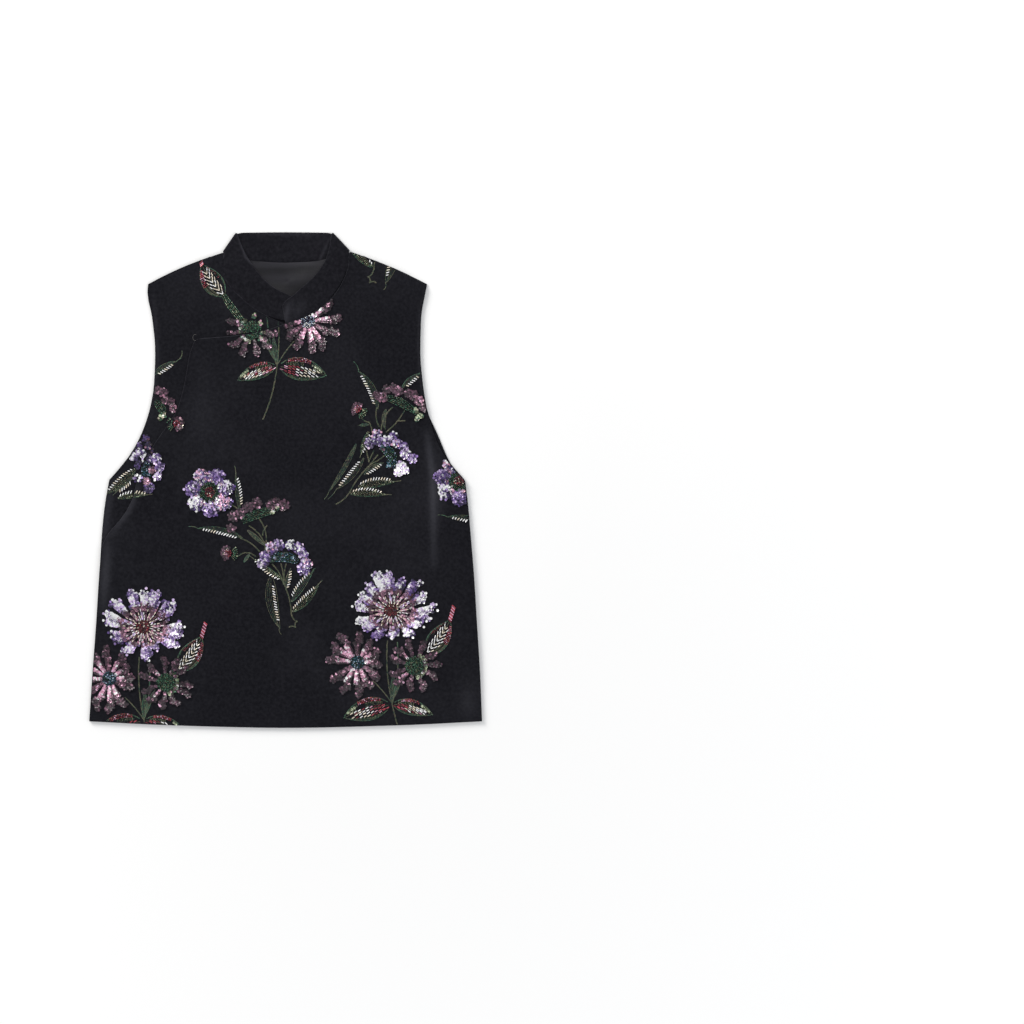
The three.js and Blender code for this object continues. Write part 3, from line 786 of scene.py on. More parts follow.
# The lamp's direction within a spray, which decides which sequins are painted lit and which are painted in
# shade.
LAMP_TURN = 2.3
SUNFLOWER_TURN = 2.4
SHADES = {
    "sequin": (0.4, 1.65, 0.85),
    "bead": (0.35, 1.8, 0.8),
    "bugle": (0.7, 1.35, 1.1),
    "stitch": (0.5, 1.4, 0.9),
}
LILAC_PETALS = [(LIT_LILAC, HALF_LIT_LILAC, SHADED_LILAC), (GLINTING_LILAC, HALF_LIT_LILAC, SHADED_LILAC), (LIT_LILAC, LIT_LILAC, HALF_LIT_LILAC), (HALF_LIT_LILAC, HALF_LIT_LILAC, SHADED_LILAC)]
LILAC_TUFTS = [LIT_LILAC, HALF_LIT_LILAC, {"lilac": 4, "blush": 4, "white": 3}, HALF_LIT_LILAC, GLINTING_LILAC]
HEART_ROWS = [DUSTY, SHADED, {"lilac": 3, "pink": 4, "mauve": 2}, {"brown": 3, "plum": 4, "mauve": 2}, DUSTY]
ROSY = {"blush": 9, "white": 4}
ROSE_PETALS = [(ROSY, ROSE, DARK), (ROSY, ROSY, SHADED), (ROSE, ROSY, DARK), (SHADED, DUSTY, DARK)]
DARK_PETALS = [(SHADED, DARK, DARK), (ROSE, DARK, DARK), (DARK, SHADED, DARK)]
GREEN_BEADS = {"leaf": 6, "fir": 4, "moss": 3}
# Ice among the teal beads is a painted glint, and ink is painted shade between them.
TEAL_BEADS = {"teal": 5, "fir": 3, "ink": 2, "ice": 2}
SEA_BEADS = {"teal": 4, "leaf": 4, "fir": 4, "ice": 1}
PALE_BEADS = {"white": 3, "ice": 4, "ink": 4}
RED_BEADS = {"wine": 5, "brown": 4, "plum": 2, "red": 1, "cream": 1}
# Blush and pink among the red beads are painted highlights.
SCARLET = {"red": 5, "wine": 4, "blush": 2, "pink": 1}
PALE = {"cream": 4, "white": 6}
MARGIN = {"leaf": 4, "fir": 3, "moss": 3}
OLIVE_MARGIN = {"moss": 5, "olive": 4, "fir": 2}
MOSSY = {"moss": 3, "olive": 2}
DARK_FILLING = {"fir": 4, "moss": 2, "grape": 2}
# Painted shade for the side of the star flowers' tufts away from the lamp.
DARKEST = {"grape": 5, "plum": 2}
ROW_GAP = 2.7


def part_shape(turn=(0, 0, 0)):
    """Turns the new primitive, keeps its points and faces, and clears it away."""
    piece = bpy.context.object
    piece.rotation_euler = turn
    bpy.ops.object.transform_apply(location=False, rotation=True, scale=False)
    points = np.array([vertex.co[:] for vertex in piece.data.vertices])
    faces = [tuple(polygon.vertices) for polygon in piece.data.polygons]
    bpy.data.objects.remove(piece)
    return points, faces


def press_cup(piece, rim_rise, thickness):
    """Sets a cone's tip and foot close together below its rim, which makes a thin cupped disc."""
    for vertex in piece.data.vertices:
        if math.hypot(vertex.co.x, vertex.co.y) > 0.5:
            vertex.co.z = rim_rise
        else:
            vertex.co.z = math.copysign(thickness / 2, vertex.co.z)


deselect()
bpy.ops.mesh.primitive_cone_add(vertices=8, radius1=1, radius2=0, depth=1, end_fill_type="TRIFAN")
press_cup(bpy.context.object, rim_rise=0.26, thickness=0.07)
SHAPES = {"sequin": part_shape()}
bpy.ops.mesh.primitive_ico_sphere_add(subdivisions=1, radius=1)
SHAPES["bead"] = part_shape()
bpy.ops.mesh.primitive_cylinder_add(vertices=6, radius=1, depth=2)
SHAPES["bugle"] = part_shape(turn=(0, math.pi / 2, 0))
bpy.ops.mesh.primitive_uv_sphere_add(segments=5, ring_count=3, radius=1)
SHAPES["stitch"] = part_shape(turn=(0, math.pi / 2, 0))


class Spray:
    """One run of embroidery in its own millimetres, x to the right and y up."""

    def __init__(self, seed):
        self.chance = random.Random(seed)
        self.spread = self.chance.uniform
        self.sewn = []

    def sew(self, kind, place, heading, size, tones, lift, lean=0.0, roll=0.0):
        """Adds one small part, in a dye chosen by weight and a random shade of it; white, which on sequins is
        a painted glint, is never dimmed.
        """
        dye = self.chance.choices(list(tones), weights=list(tones.values()))[0]
        shade = self.chance.triangular(*SHADES[kind])
        if dye == "white":
            shade = max(shade, 1)
        colour = [min(0.95, channel * shade) for channel in DYES[dye]]
        self.sewn.append((kind, *place, heading, size, colour, lift, lean, roll))

    def sequin(self, x, y, heading, tones, radius=1.7):
        spread = self.spread
        place = (x + spread(-0.3, 0.3), y + spread(-0.3, 0.3))
        size = (radius * spread(0.85, 1.12),) * 3
        lean, roll = 0.24 + spread(-0.14, 0.14), spread(-0.2, 0.2)
        self.sew("sequin", place, heading + spread(-0.35, 0.35), size, tones, spread(0.45, 0.85), lean, roll)

    def bead(self, x, y, tones, radius=0.8, lift=0.6):
        spread = self.spread
        place = (x + spread(-0.25, 0.25), y + spread(-0.25, 0.25))
        self.sew("bead", place, spread(0, 6), (radius * spread(0.85, 1.1),) * 3, tones, lift)

    def bugle(self, x, y, heading, tones, length=4.0, radius=0.5, lift=0.5):
        spread = self.spread
        size = (length / 2 * spread(0.85, 1.05), radius, radius)
        self.sew("bugle", (x, y), heading + spread(-0.14, 0.14), size, tones, lift, spread(-0.06, 0.06))

    def stitch(self, x, y, heading, tones, length=3.4, width=0.8):
        size = (length / 2, width / 2, width * 0.4)
        self.sew("stitch", (x, y), heading + self.spread(-0.12, 0.12), size, tones, width * 0.22)


def bent_line(start, end, bend, step):
    """Share, x, y and heading along a line that bows to its left by a given distance."""
    (ax, ay), (bx, by) = start, end
    run = math.hypot(bx - ax, by - ay)
    mx = (ax + bx) / 2 - 2 * bend * (by - ay) / run
    my = (ay + by) / 2 + 2 * bend * (bx - ax) / run
    count = max(1, round(run / step))
    for k in range(count + 1):
        t = k / count
        x = (1 - t) ** 2 * ax + 2 * t * (1 - t) * mx + t * t * bx
        y = (1 - t) ** 2 * ay + 2 * t * (1 - t) * my + t * t * by
        run_x = (1 - t) * (mx - ax) + t * (bx - mx)
        run_y = (1 - t) * (my - ay) + t * (by - my)
        yield t, x, y, math.atan2(run_y, run_x)


def beside(x, y, heading, offset):
    return x - math.sin(heading) * offset, y + math.cos(heading) * offset


def out_from(x, y, angle, reach, squash=1.0):
    return x + math.cos(angle) * reach, y + math.sin(angle) * reach * squash


def beyond(base, tip, shares):
    """A place past a line's end, by shares of its run across and up."""
    return [end + (end - start) * share for start, end, share in zip(base, tip, shares)]


def leaf_half(t, width):
    return width / 2 * math.sin(math.pi * min(1, 0.05 + t * 0.95) ** 0.85) ** 0.75


def along_leaf(leaf, step):
    """Share and heading along a leaf's midrib, with the place at a share of its half width to one side."""
    base, tip, width, bend = leaf
    for t, x, y, heading in bent_line(base, tip, bend, step):
        half = leaf_half(t, width)
        yield t, heading, lambda out: beside(x, y, heading, out * half)


def stem(spray, start, end, bend=0.0, width=1.3, tones=OLIVE_MARGIN):
    """Two lines of stem stitch side by side."""
    for offset in (-width / 3, width / 3):
        for _, x, y, heading in bent_line(start, end, bend, 2.5):
            spray.stitch(*beside(x, y, heading, offset), heading + 0.1, tones, 3.5, 0.75)


def rope(spray, leaf, side, share, length, first=0.12, last=0.88):
    """Pale bugle beads sewn at a slant along one half of a leaf, with a gap after each."""
    for t, heading, at in along_leaf(leaf, 3.5):
        if first <= t <= last:
            size = length * (0.6 + 0.4 * math.sin(math.pi * t))
            spray.bugle(*at(side * share), heading + side, PALE, size, 0.66)


def bead_band(spray, start, end, bend, width, tones):
    """A crescent packed with beads."""
    for t, x, y, heading in bent_line(start, end, bend, 1.75):
        half = width / 2 * math.sqrt(math.sin(math.pi * (0.08 + 0.84 * t)))
        rows = max(1, round(half / 0.85))
        for k in range(rows):
            offset = 0 if rows == 1 else half * (2 * k / (rows - 1) - 1)
            spray.bead(*beside(x, y, heading, offset), tones, 0.78)


def bead_disc(spray, x, y, radius, tones, spacing, lift):
    """Beads in sunflower order, as a needle works round a centre."""
    count = max(3, round((radius / spacing) ** 2 * 3.4))
    for k in range(count):
        reach = radius * math.sqrt((k + 0.5) / count)
        spray.bead(*out_from(x, y, k * SUNFLOWER_TURN, reach), tones, 0.85, lift)


def slim_leaf(spray, base, tip, width, bend, chain, tones=OLIVE_MARGIN, tail=0.2):
    """A narrow leaf: one half filled with stitches, the other a rope of pale bugles; chain 0 fills both."""
    leaf = (base, tip, width, bend)
    for t, heading, at in along_leaf(leaf, 2.2):
        slope = 0.3 * math.cos(math.pi * t)
        for side in (-1, 1):
            if side != chain or width > 12:
                spray.stitch(*at(side), heading + side * slope, tones, 3.1, 0.75)
            if side != chain:
                for share in (0.3, 0.65):
                    spray.stitch(*at(side * share), heading + side * 0.35, DARK_FILLING, 3, 0.8)
        spray.stitch(*at(0), heading, tones, 3, 0.6)
    if chain:
        rope(spray, leaf, chain, 0.5, 4.4)
    if tail:
        stem(spray, tip, beyond(base, tip, (tail, tail)), bend * 0.3, 0.4, tones)


def beaded_leaf(spray, base, tip, width, bend, chain):
    """A leaf with pale bugles along one edge and rows of small beads on the rest."""
    leaf = (base, tip, width, bend)
    rope(spray, leaf, chain, 0.8, 4.2, 0.04, 0.92)
    for _, heading, at in along_leaf(leaf, 2.0):
        spray.stitch(*at(-chain), heading - chain * 0.3, MARGIN, 3, 0.7)
        for share in (-0.75, -0.4, -0.05, 0.3):
            spray.bead(*at(chain * share), {"moss": 4, "olive": 5, "fir": 3, "sage": 2}, 0.72)
    stem(spray, tip, beyond(base, tip, (0.14, 0.14)), 0, 0.4)


def leaf_margins(spray, leaf):
    """Stitches along both edges and the midrib of a wide leaf."""
    for t, heading, at in along_leaf(leaf, 1.9):
        slope = 0.5 * math.cos(math.pi * t)
        for side in (-1, 1):
            spray.stitch(*at(side), heading + side * slope, MARGIN, 3.1, 0.9)
            spray.stitch(*at(side * 0.9), heading + side * 0.9, MARGIN, 2.4, 0.7)
        spray.stitch(*at(0), heading, {"olive": 2, "moss": 3}, 3, 0.6)


def bead_patch(spray, leaf, side, shares, first, last, tones):
    """Beads between two places along a leaf, on one side, at the given shares of its half width."""
    for t, _, at in along_leaf(leaf, 2.1):
        if first < t < last:
            for share in shares:
                spray.bead(*at(side * share), tones, 0.82)


def edge_hatch(spray, leaf, side, share, first, last, tones):
    """Short stitches set across a leaf's edge, close enough to cover the cloth."""
    for t, heading, at in along_leaf(leaf, 1.2):
        if first < t < last:
            spray.stitch(*at(side * share), heading + side * 1.1, tones, 3.6, 0.72)


def broad_leaf(spray, base, tip, width, bend, red):
    """A wide leaf in slanting lines of bugles, red near its stalk and beaded red along one shoulder."""
    leaf = (base, tip, width, bend)
    leaf_margins(spray, leaf)
    edge_hatch(spray, leaf, -red, 0.86, 0.2, 0.8, {"fir": 4, "leaf": 3, "moss": 2})
    for t, heading, at in along_leaf(leaf, 3.2):
        if 0.66 < t < 0.9:
            spray.sequin(*at(red * 0.66), heading, {"sage": 5, "moss": 3}, 1.7)
    bead_patch(spray, leaf, red, (0.7, 0.84, 0.98), 0.14, 0.62, SCARLET)
    bead_patch(spray, leaf, red, (0.3, 0.45, 0.58), 0.08, 0.5, {"olive": 3, "moss": 4, "fir": 3})
    bead_patch(spray, leaf, red, (0.3, 0.5, 0.7), 0.68, 0.92, {"sage": 3, "moss": 4, "olive": 3})
    bead_patch(spray, leaf, -red, (0.76, 0.88), 0.12, 0.9, {"fir": 5, "moss": 3, "brown": 1})
    for number, share in enumerate((0.14, -0.1, -0.34, -0.58)):
        for t, x, y, heading in bent_line(base, tip, bend, 5.2):
            t += 0.05 * (number % 3)
            if 0.08 < t < 0.86:
                place = beside(x, y, heading, red * leaf_half(t, width) * share)
                tones = SCARLET if t < 0.4 or spray.chance.random() < 0.1 else PALE
                spray.bugle(*place, heading - red * 0.34, tones, 4.4, 0.62)


def veined_leaf(spray, base, tip, width, bend, red):
    """A wide leaf with lines of bugles like veins on both sides of its midrib, and a twisted red tip."""
    leaf = (base, tip, width, bend)
    leaf_margins(spray, leaf)
    bead_patch(spray, leaf, red, (0.54, 0.68, 0.82, 0.96), 0.42, 0.9, SCARLET)
    for share in (0.56, 0.84):
        edge_hatch(spray, leaf, red, share, 0.06, 0.44, {"olive": 4, "moss": 4})
    bead_patch(spray, leaf, -red, (0.72, 0.88), 0.45, 0.9, {"wine": 4, "brown": 3, "fir": 2})
    run = math.dist(base, tip)
    slant = 0.55
    for t, x, y, heading in bent_line(base, tip, bend, 6.4):
        for side in (-1, 1):
            turn = heading + side * slant
            for out in (2.2, 6.6, 11):
                room = leaf_half(t + out * math.cos(slant) / run, width)
                if out * math.sin(slant) < room * (0.5 if side == red else 0.72) and t < 0.84:
                    spray.bugle(*out_from(x, y, turn, out), turn - side * 0.02 * out, PALE, 4.1, 0.6)
    for number, (_, x, y, heading) in enumerate(bent_line(tip, beyond(base, tip, (0.18, 0.44)), 0, 1.9)):
        tones, thick = (({"red": 1, "wine": 1}, 1), ({"blush": 1}, 0.58))[number % 2]
        spray.bugle(x, y, heading + 1.05, tones, 6, thick)


def tuft(spray, x, y, radius, tones, outward, shade_tones=DARK):
    """A ruffled tuft of sequins that lean away from the flower's middle, with some painted in shade, mostly
    on the side away from the lamp.
    """
    count = max(4, round((radius / 1.95) ** 2 * 3))
    for k in range(count):
        reach = radius * math.sqrt((k + 0.5) / count) * spray.spread(0.85, 1.15)
        angle = k * SUNFLOWER_TURN
        shaded = spray.chance.random() < 0.45 - 0.5 * math.cos(angle - LAMP_TURN) * reach / radius
        place = out_from(x, y, angle, reach)
        spray.sequin(*place, outward + 0.6 * math.sin(angle), shade_tones if shaded else tones)


def petal(spray, centre, heading, inner, outer, width, streaks, foot=0, foot_tones=DUSTY, squash=1.0, rise=0):
    """Rows of sequins that overlap like scales, painted brightest towards the lamp, with an uneven end."""
    rows = max(1, round(width / ROW_GAP))
    # The rows nearest the lamp get the first, palest tones: painted light.
    if math.sin(LAMP_TURN - heading) > 0:
        streaks = streaks[::-1]
    for j in range(rows):
        across = (j - (rows - 1) / 2) * ROW_GAP
        reach = outer - 0.1 * across**2 - spray.spread(0, 4.5)
        steps = max(1, round((reach - inner) / 1.9))
        for k in range(steps + 1):
            distance = inner + (reach - inner) * k / steps
            share = (distance - inner) / (outer - inner)
            aside = across * (0.4 + 0.6 * min(1, share / 0.7))
            x = centre[0] + math.cos(heading) * distance - math.sin(heading) * aside
            y = centre[1] + (math.sin(heading) * distance + math.cos(heading) * aside) * squash + rise * share
            rosy = distance < foot + spray.spread(-3, 3)
            spray.sequin(x, y, heading, foot_tones if rosy else streaks[j * len(streaks) // rows])


def great_flower(spray, x, y, shine, glints):
    """The widest flower: ruffled lilac petals, a rosy middle, cream rays and a red beaded heart."""
    spread, squash, rise = spray.spread, 0.83, 5
    petals, heart_rows = 16, 27
    for k in range(petals):
        heading = math.tau * (k + spread(-0.3, 0.3)) / petals
        # Petals that face the shine direction, and a share set by glints, are painted glinting.
        lit = math.cos(heading - shine) > 0.93 or spray.chance.random() < glints
        streaks = (GLINTING_LILAC, GLINTING_LILAC, LIT_LILAC) if lit else spray.chance.choice(LILAC_PETALS)
        reach = spread(43, 56)
        width, foot_tones = spread(11.5, 15.5), HEART_ROWS[k % 5]
        petal(spray, (x, y), heading, 27, reach, width, streaks, 33, foot_tones, squash, rise)
        for number in range(3):
            turn = heading + (number - 1) * 0.09 + spread(-0.03, 0.03)
            lump = out_from(x, y + rise, turn, reach - 2 + spread(-5, 3), squash)
            tuft(spray, *lump, spread(2.4, 3.8), streaks[number], heading, SHADED_LILAC)
        past = reach + spread(2, 5)
        turn = heading + spread(-0.05, 0.05)
        spray.sequin(*out_from(x, y + rise, turn, past, squash), heading, LIT_LILAC, 1.8)
    # Narrow petals between the wide ones, in painted shade.
    for k in range(petals):
        heading = math.tau * (k + 0.5 + spread(-0.2, 0.2)) / petals
        petal(spray, (x, y), heading, 26, spread(34, 43), 5, (SHADED_LILAC, HALF_LIT_LILAC), 30, SHADED, squash, rise)
    for k in range(heart_rows):
        heading = math.tau * (k + spread(-0.25, 0.25)) / heart_rows
        petal(spray, (x, y), heading, 13, spread(26, 36), 3, (HEART_ROWS[k % 5],), 0, DUSTY, 0.88, 2)
    for reach, count in ((11.5, 17), (15.5, 22), (20, 20), (25, 14)):
        for k in range(count):
            heading = math.tau * (k + spread(-0.35, 0.35)) / count
            spray.bugle(*out_from(x, y, heading, reach, 0.88), heading, PALE, 3.3, 0.5, 1.5)
    bead_disc(spray, x, y, 9.5, RED_BEADS, 1.7, 1.2)


def star_flower(spray, x, y, radius, count, petals, centre, centre_tones, short_side=None, bare=(0, 0)):
    """A daisy of separate petals, rosy inside and dark and lumpy outside, round a disc of glass beads."""
    for k in range(count):
        heading = math.tau * (k + spray.spread(-0.16, 0.16)) / count
        if bare[0] < heading < bare[1]:
            continue
        reach = radius * spray.spread(0.9, 1.03)
        if short_side is not None:
            reach *= 1 - 0.3 * max(0, math.cos(heading - short_side))
        petal(spray, (x, y), heading, centre + 1, reach * 0.68, radius * 0.17, petals[k % len(petals)])
        for share, size in ((0.62, 0.08), (0.76, 0.115), (0.9, 0.1)):
            turn = heading + spray.spread(-0.11, 0.11)
            tuft(spray, *out_from(x, y, turn, reach * share), radius * size, DARK, heading, DARKEST)
    bead_disc(spray, x, y, centre, centre_tones, 1.9, 1.0)


def round_flower(spray, x, y, radius):
    """A lilac pompom of seven tufts round a green ring and a red beaded heart."""
    for k in range(7):
        heading = math.tau * (k + 0.3) / 7
        # One tuft is painted glinting.
        tones = GLINTING_LILAC if k == 4 else LILAC_TUFTS[k % 4]
        tuft(spray, *out_from(x, y, heading, radius * 0.73), radius * 0.32, tones, heading, SHADED_LILAC)
        tuft(spray, *out_from(x, y, heading + 0.3, radius * 0.52), radius * 0.1, ROSE, heading, SHADED_LILAC)
    for reach in (0.24, 0.3, 0.36, 0.42):
        count = int(90 * reach)
        for k in range(count):
            spray.bead(*out_from(x, y, math.tau * k / count, radius * reach), GREEN_BEADS, 0.78, 1.4)
    bead_disc(spray, x, y, radius * 0.22, RED_BEADS, 1.8, 1.5)


def umbel(spray, lobes, radius, tufts, band, width, beads, shade_tones=DARK):
    """A flower head of tufts along an arch, over a crescent of green beads."""
    start, end, bend = band
    middle = ((start[0] + end[0]) / 2, (start[1] + end[1]) / 2)
    bead_band(spray, start, end, bend, width, beads)
    for k, (x, y) in enumerate(lobes):
        outward = math.atan2(y - middle[1], x - middle[0])
        tuft(spray, x, y, radius * spray.spread(0.85, 1.12), tufts[k % len(tufts)], outward, shade_tones)


def bud(spray, x, y, radius, turn):
    """A closed flower: dusky sequins and red beads in a green beaded cup."""
    for k in range(5):
        angle = turn + (k - 2) * 0.55
        tones = (SHADED, {"cream": 1, "plum": 3})[k % 2]
        tuft(spray, *out_from(x, y, angle, radius * 0.55), radius * 0.3, tones, angle)
    bead_disc(spray, *out_from(x, y, turn, 1.5), radius * 0.42, SCARLET, 1.9, 1.1)
    for reach in (0.5, 0.65, 0.8, 0.95):
        for k in range(-3, 4):
            place = out_from(x, y, turn + math.pi + k * 0.26, radius * reach)
            spray.bead(*place, {"moss": 3, "leaf": 4, "sage": 1}, 0.85)


def sew_each(motif, spray, rows):
    """Sews one motif once for each row of places and sizes."""
    for row in rows:
        motif(spray, *row)


def bouquet(seed, shine=2.6, glints=0.14, with_great_flower=True, upper_leaf=((46, 66), (75, 107))):
    """Great flower over two stars on one stalk, with two leaves at its node and one above."""
    spray = Spray(seed)
    sew_each(stem, spray, (
        ((0, 0), (24, -68), -3, 1.4), ((0, 0), (-6, 80), 3, 1.4), ((1, 3), (7, 78), -3, 1.2, MARGIN),
        ((-1, 1), (-24, 28), -1, 1.1), ((1, 2), (15, 30), 2, 1.3),
    ))
    slim_leaf(spray, (-1, 5), (1, 38), 5.5, -1, 0, {"leaf": 5, "fir": 3}, 0)
    slim_leaf(spray, (3, 9), (14, 38), 5, 1, 0, {"moss": 3, "leaf": 3}, 0)
    broad_leaf(spray, (-6, -3), (-62, -19), 29, -2, -1)
    broad_leaf(spray, (4, -2), (52, -15), 20, 2, 1)
    veined_leaf(spray, *upper_leaf, 27, -2, -1)
    centre_beads = TEAL_BEADS if with_great_flower else PALE_BEADS
    star_flower(spray, -45, 53, 45, 12, ROSE_PETALS, 9.5, centre_beads, 0.2)
    bare = (0, 0) if with_great_flower else (0.85, 3.0)
    star_flower(spray, 29, 48, 36, 11, DARK_PETALS, 12.5, GREEN_BEADS, None, bare)
    for k in range(9):
        angle = -1.3 + k * 0.3
        tones = {"sage": 5, "white": 1, "moss": 3}
        tuft(spray, *out_from(29, 48, angle, 15), 1.9, tones, angle, MARGIN)
    if with_great_flower:
        great_flower(spray, -0.5, 120.5, shine, glints)
    else:
        bead_band(spray, upper_leaf[0], (38, 58), 1, 8, {"leaf": 4, "moss": 4, "sage": 2})
        for place in ((24, 66), (17, 56), (15, 44), (18, 36)):
            tuft(spray, *place, 3, {"sage": 4, "moss": 3, "blush": 1}, 2.4, MARGIN)
    return spray


def field_spray(seed, with_bud=True):
    """Round flower, two umbels and a bud on thin stalks with slim leaves."""
    spray = Spray(seed)
    sew_each(stem, spray, (
        ((-46, 76), (-27, 64), 0), ((-16, 44), (5, 18), 3), ((-4, 54), (5, 19), 4), ((6, 44), (1, 33), -1),
        ((-4, 12), (-27, 28), -2), ((-30, 6), (-9, 5), 4), ((5, 19), (2, 8), 0), ((14, -6), (28, -31), 2),
        ((25, -6), (28, -31), 1), ((31, -6), (29, -31), -1), ((9, -13), (27, -28), 2),
        ((28, -30), (38, -67), 2), ((38, -67), (45, -80), -2), ((45, -80), (43, -87), -1),
        ((43, -87), (36, -87), -1),
    ))
    sew_each(slim_leaf, spray, (
        ((-18, 38), (5, 18), 5, 0, 0, MOSSY, 0),
        ((-23, -2), (-16, 8), 3.5, 0, 0, MARGIN, 0),
        ((-28, 66), (-34, 112), 9, -1, -1),
        ((-27, 28), (-83, 41), 10, -3, 1, MARGIN),
        ((12, -24), (23, -88), 15, -4, 1, OLIVE_MARGIN, 0.12),
        ((32, -38), (37, -12), 7, 0, -1, OLIVE_MARGIN, 0),
        ((38, -53), (67, -13), 12, 2, 1, MARGIN, 0.04),
    ))
    beaded_leaf(spray, (40, -66), (73, -32), 11, -2, 1)
    beaded_leaf(spray, (25, -25), (-10, 1), 7, 1, 1)
    round_flower(spray, -68, 88, 31)
    dusky = [(-40, 41), (-37, 57), (-28, 60), (-18, 69), (-7, 74), (12, 72), (19, 75), (28, 71)]
    dusky_tip = [(20, 67), (14, 62)]
    lilac = [(1, -4), (5, 4), (13, 16), (22, 20), (37, 20), (48, 15), (54, 6), (58, -5), (54, -12)]
    lilac_foot = [(17, 2), (27, 7), (39, 2)]
    sew_each(umbel, spray, (
        (dusky, 6.2, [SHADED, DARK, DARK, SHADED], ((-25, 50), (16, 64), 3), 11, GREEN_BEADS),
        (dusky_tip, 2.6, [{"sage": 3, "cream": 2}], ((16, 64), (20, 66), 0), 2, GREEN_BEADS, MARGIN),
        (lilac, 7, LILAC_TUFTS, ((10, 0), (46, -2), 5), 12, SEA_BEADS, SHADED_LILAC),
        (lilac_foot, 2, [{"ice": 2, "teal": 3}], ((20, 0), (30, 3), 0), 3, TEAL_BEADS),
    ))
    if with_bud:
        bud(spray, -43, 9, 12, math.pi - 0.1)
    return spray


def armhole_spray(seed):
    """The same heads on a stalk that leans to the lower left, with two beaded leaves beneath."""
    spray = Spray(seed)
    sew_each(stem, spray, (
        ((2, 28), (5, 5), -2), ((22, 29), (8, 1), -3), ((38, 25), (15, -2), 2), ((38, 12), (31, 12), 0),
        ((-17, 15), (-8, 10), -1), ((-8, 10), (-4, -2), 1), ((11, -34), (-5, -44), 1),
        ((-5, -44), (-32, -79), -2), ((-32, -79), (-50, -96), 2), ((-2, -28), (-8, -40), 0),
        ((3, -33), (-6, -44), 0), ((-11, -28), (-8, -41), 0),
    ))
    sew_each(slim_leaf, spray, (
        ((14, 26), (13, 2), 5, -2, 0, MOSSY, 0),
        ((-9, 7), (-21, 6), 3.5, 0, 0, MARGIN, 0),
        ((2, 28), (-21, 76), 12, -4, 1, MARGIN, 0.25),
        ((36, 54), (60, 74), 9, 1, -1, MARGIN),
        ((-25, -19), (-60, -80), 5.5, 2, 0, {"moss": 4, "fir": 4, "olive": 1}, 0.15),
        ((-16, -37), (-50, -77), 10, 2, -1, OLIVE_MARGIN, 0.3),
        ((-13, -58), (10, -43), 8, 1, -1, OLIVE_MARGIN, 0),
    ))
    beaded_leaf(spray, (-8, -3), (-18, -31), 8, 0, 1)
    beaded_leaf(spray, (-21, -73), (26, -67), 12, 2, 1)
    beaded_leaf(spray, (-31, -82), (14, -84), 11, 2, 1)
    dusky = [(2, 45), (10, 42), (15, 53), (23, 55), (30, 51), (43, 48), (50, 45), (57, 38), (63, 30)]
    dusky_tip = [(53, 25), (59, 18), (55, 14)]
    lilac = [(-6, -17), (2, -6), (6, -15), (15, -14), (24, -8), (28, -17), (37, -21), (40, -31), (48, -37)]
    lilac_tones = [HALF_LIT_LILAC, LILAC_TUFTS[2], HALF_LIT_LILAC, LIT_LILAC]
    # Three tufts painted glinting.
    white = [(31, -55), (39, -52), (34, -47)]
    icy = [(18, -47), (9, -24)]
    sew_each(umbel, spray, (
        (dusky, 5.6, [SHADED, DUSTY, DARK], ((13, 42), (51, 24), 3), 10, GREEN_BEADS),
        (dusky_tip, 3.6, [{"sage": 5, "cream": 2}], ((50, 25), (54, 20), 0), 3, GREEN_BEADS, MARGIN),
        (lilac, 6.3, lilac_tones, ((8, -22), (24, -46), 5), 12, SEA_BEADS, SHADED_LILAC),
        (white, 6, [GLINTING_LILAC], ((22, -44), (26, -50), 0), 3, TEAL_BEADS, LIT_LILAC),
        (icy, 2.8, [{"ice": 3, "teal": 3}], ((16, -42), (20, -38), 0), 3, TEAL_BEADS),
    ))
    bud(spray, -21.5, 26, 11.5, 2.5)
    return spray


def turned_spray(seed):
    """What shows of the armhole spray where the cloth turns under at the left armhole."""
    spray = Spray(seed)
    slim_leaf(spray, (33, 61), (61, 79), 10, 1, -1, MARGIN, 0.2)
    stem(spray, (66, 83), (69, 92), -1, 0.6)
    dusky = [(38, 42), (45, 39), (48, 29), (55, 26), (57, 18)]
    dusky_tip = [(45, 9), (41, 6)]
    sew_each(umbel, spray, (
        (dusky, 4.8, [SHADED, DUSTY, DARK], ((34, 27), (45, 10), 2), 10, GREEN_BEADS),
        (dusky_tip, 3, [{"sage": 4, "cream": 2}], ((42, 12), (45, 8), 0), 2, GREEN_BEADS, MARGIN),
    ))
    bud(spray, 61, -2, 12, 0.1)
    dark_side = [(22, -21), (25, -30), (28, -36)]
    lilac = [
        (11, -31), (6, -45), (13, -55), (23, -46), (35, -47),
        (40, -58), (37, -71), (26, -85), (11, -73), (15, -40),
    ]
    lilac_tones = [HALF_LIT_LILAC, LIT_LILAC, SHADED_LILAC, GLINTING_LILAC, LIT_LILAC]
    rosy = [(30, -62), (23, -77)]
    sew_each(umbel, spray, (
        (dark_side, 4.2, [SHADED_LILAC, {"ink": 4, "purple": 3}], ((18, -36), (22, -40), 0), 2, TEAL_BEADS),
        (lilac, 6, lilac_tones, ((20, -52), (18, -76), 4), 12, TEAL_BEADS, SHADED_LILAC),
        (rosy, 4.2, [DUSTY], ((20, -66), (22, -70), 0), 3, TEAL_BEADS, DUSTY),
    ))
    beaded_leaf(spray, (7, -61), (-30, -93), 12, 1, -1)
    slim_leaf(spray, (5, -73), (-18, -92), 10, 0, 1, OLIVE_MARGIN, 0.1)
    beaded_leaf(spray, (-14, -98), (24, -94), 9, 2, 1)
    return spray


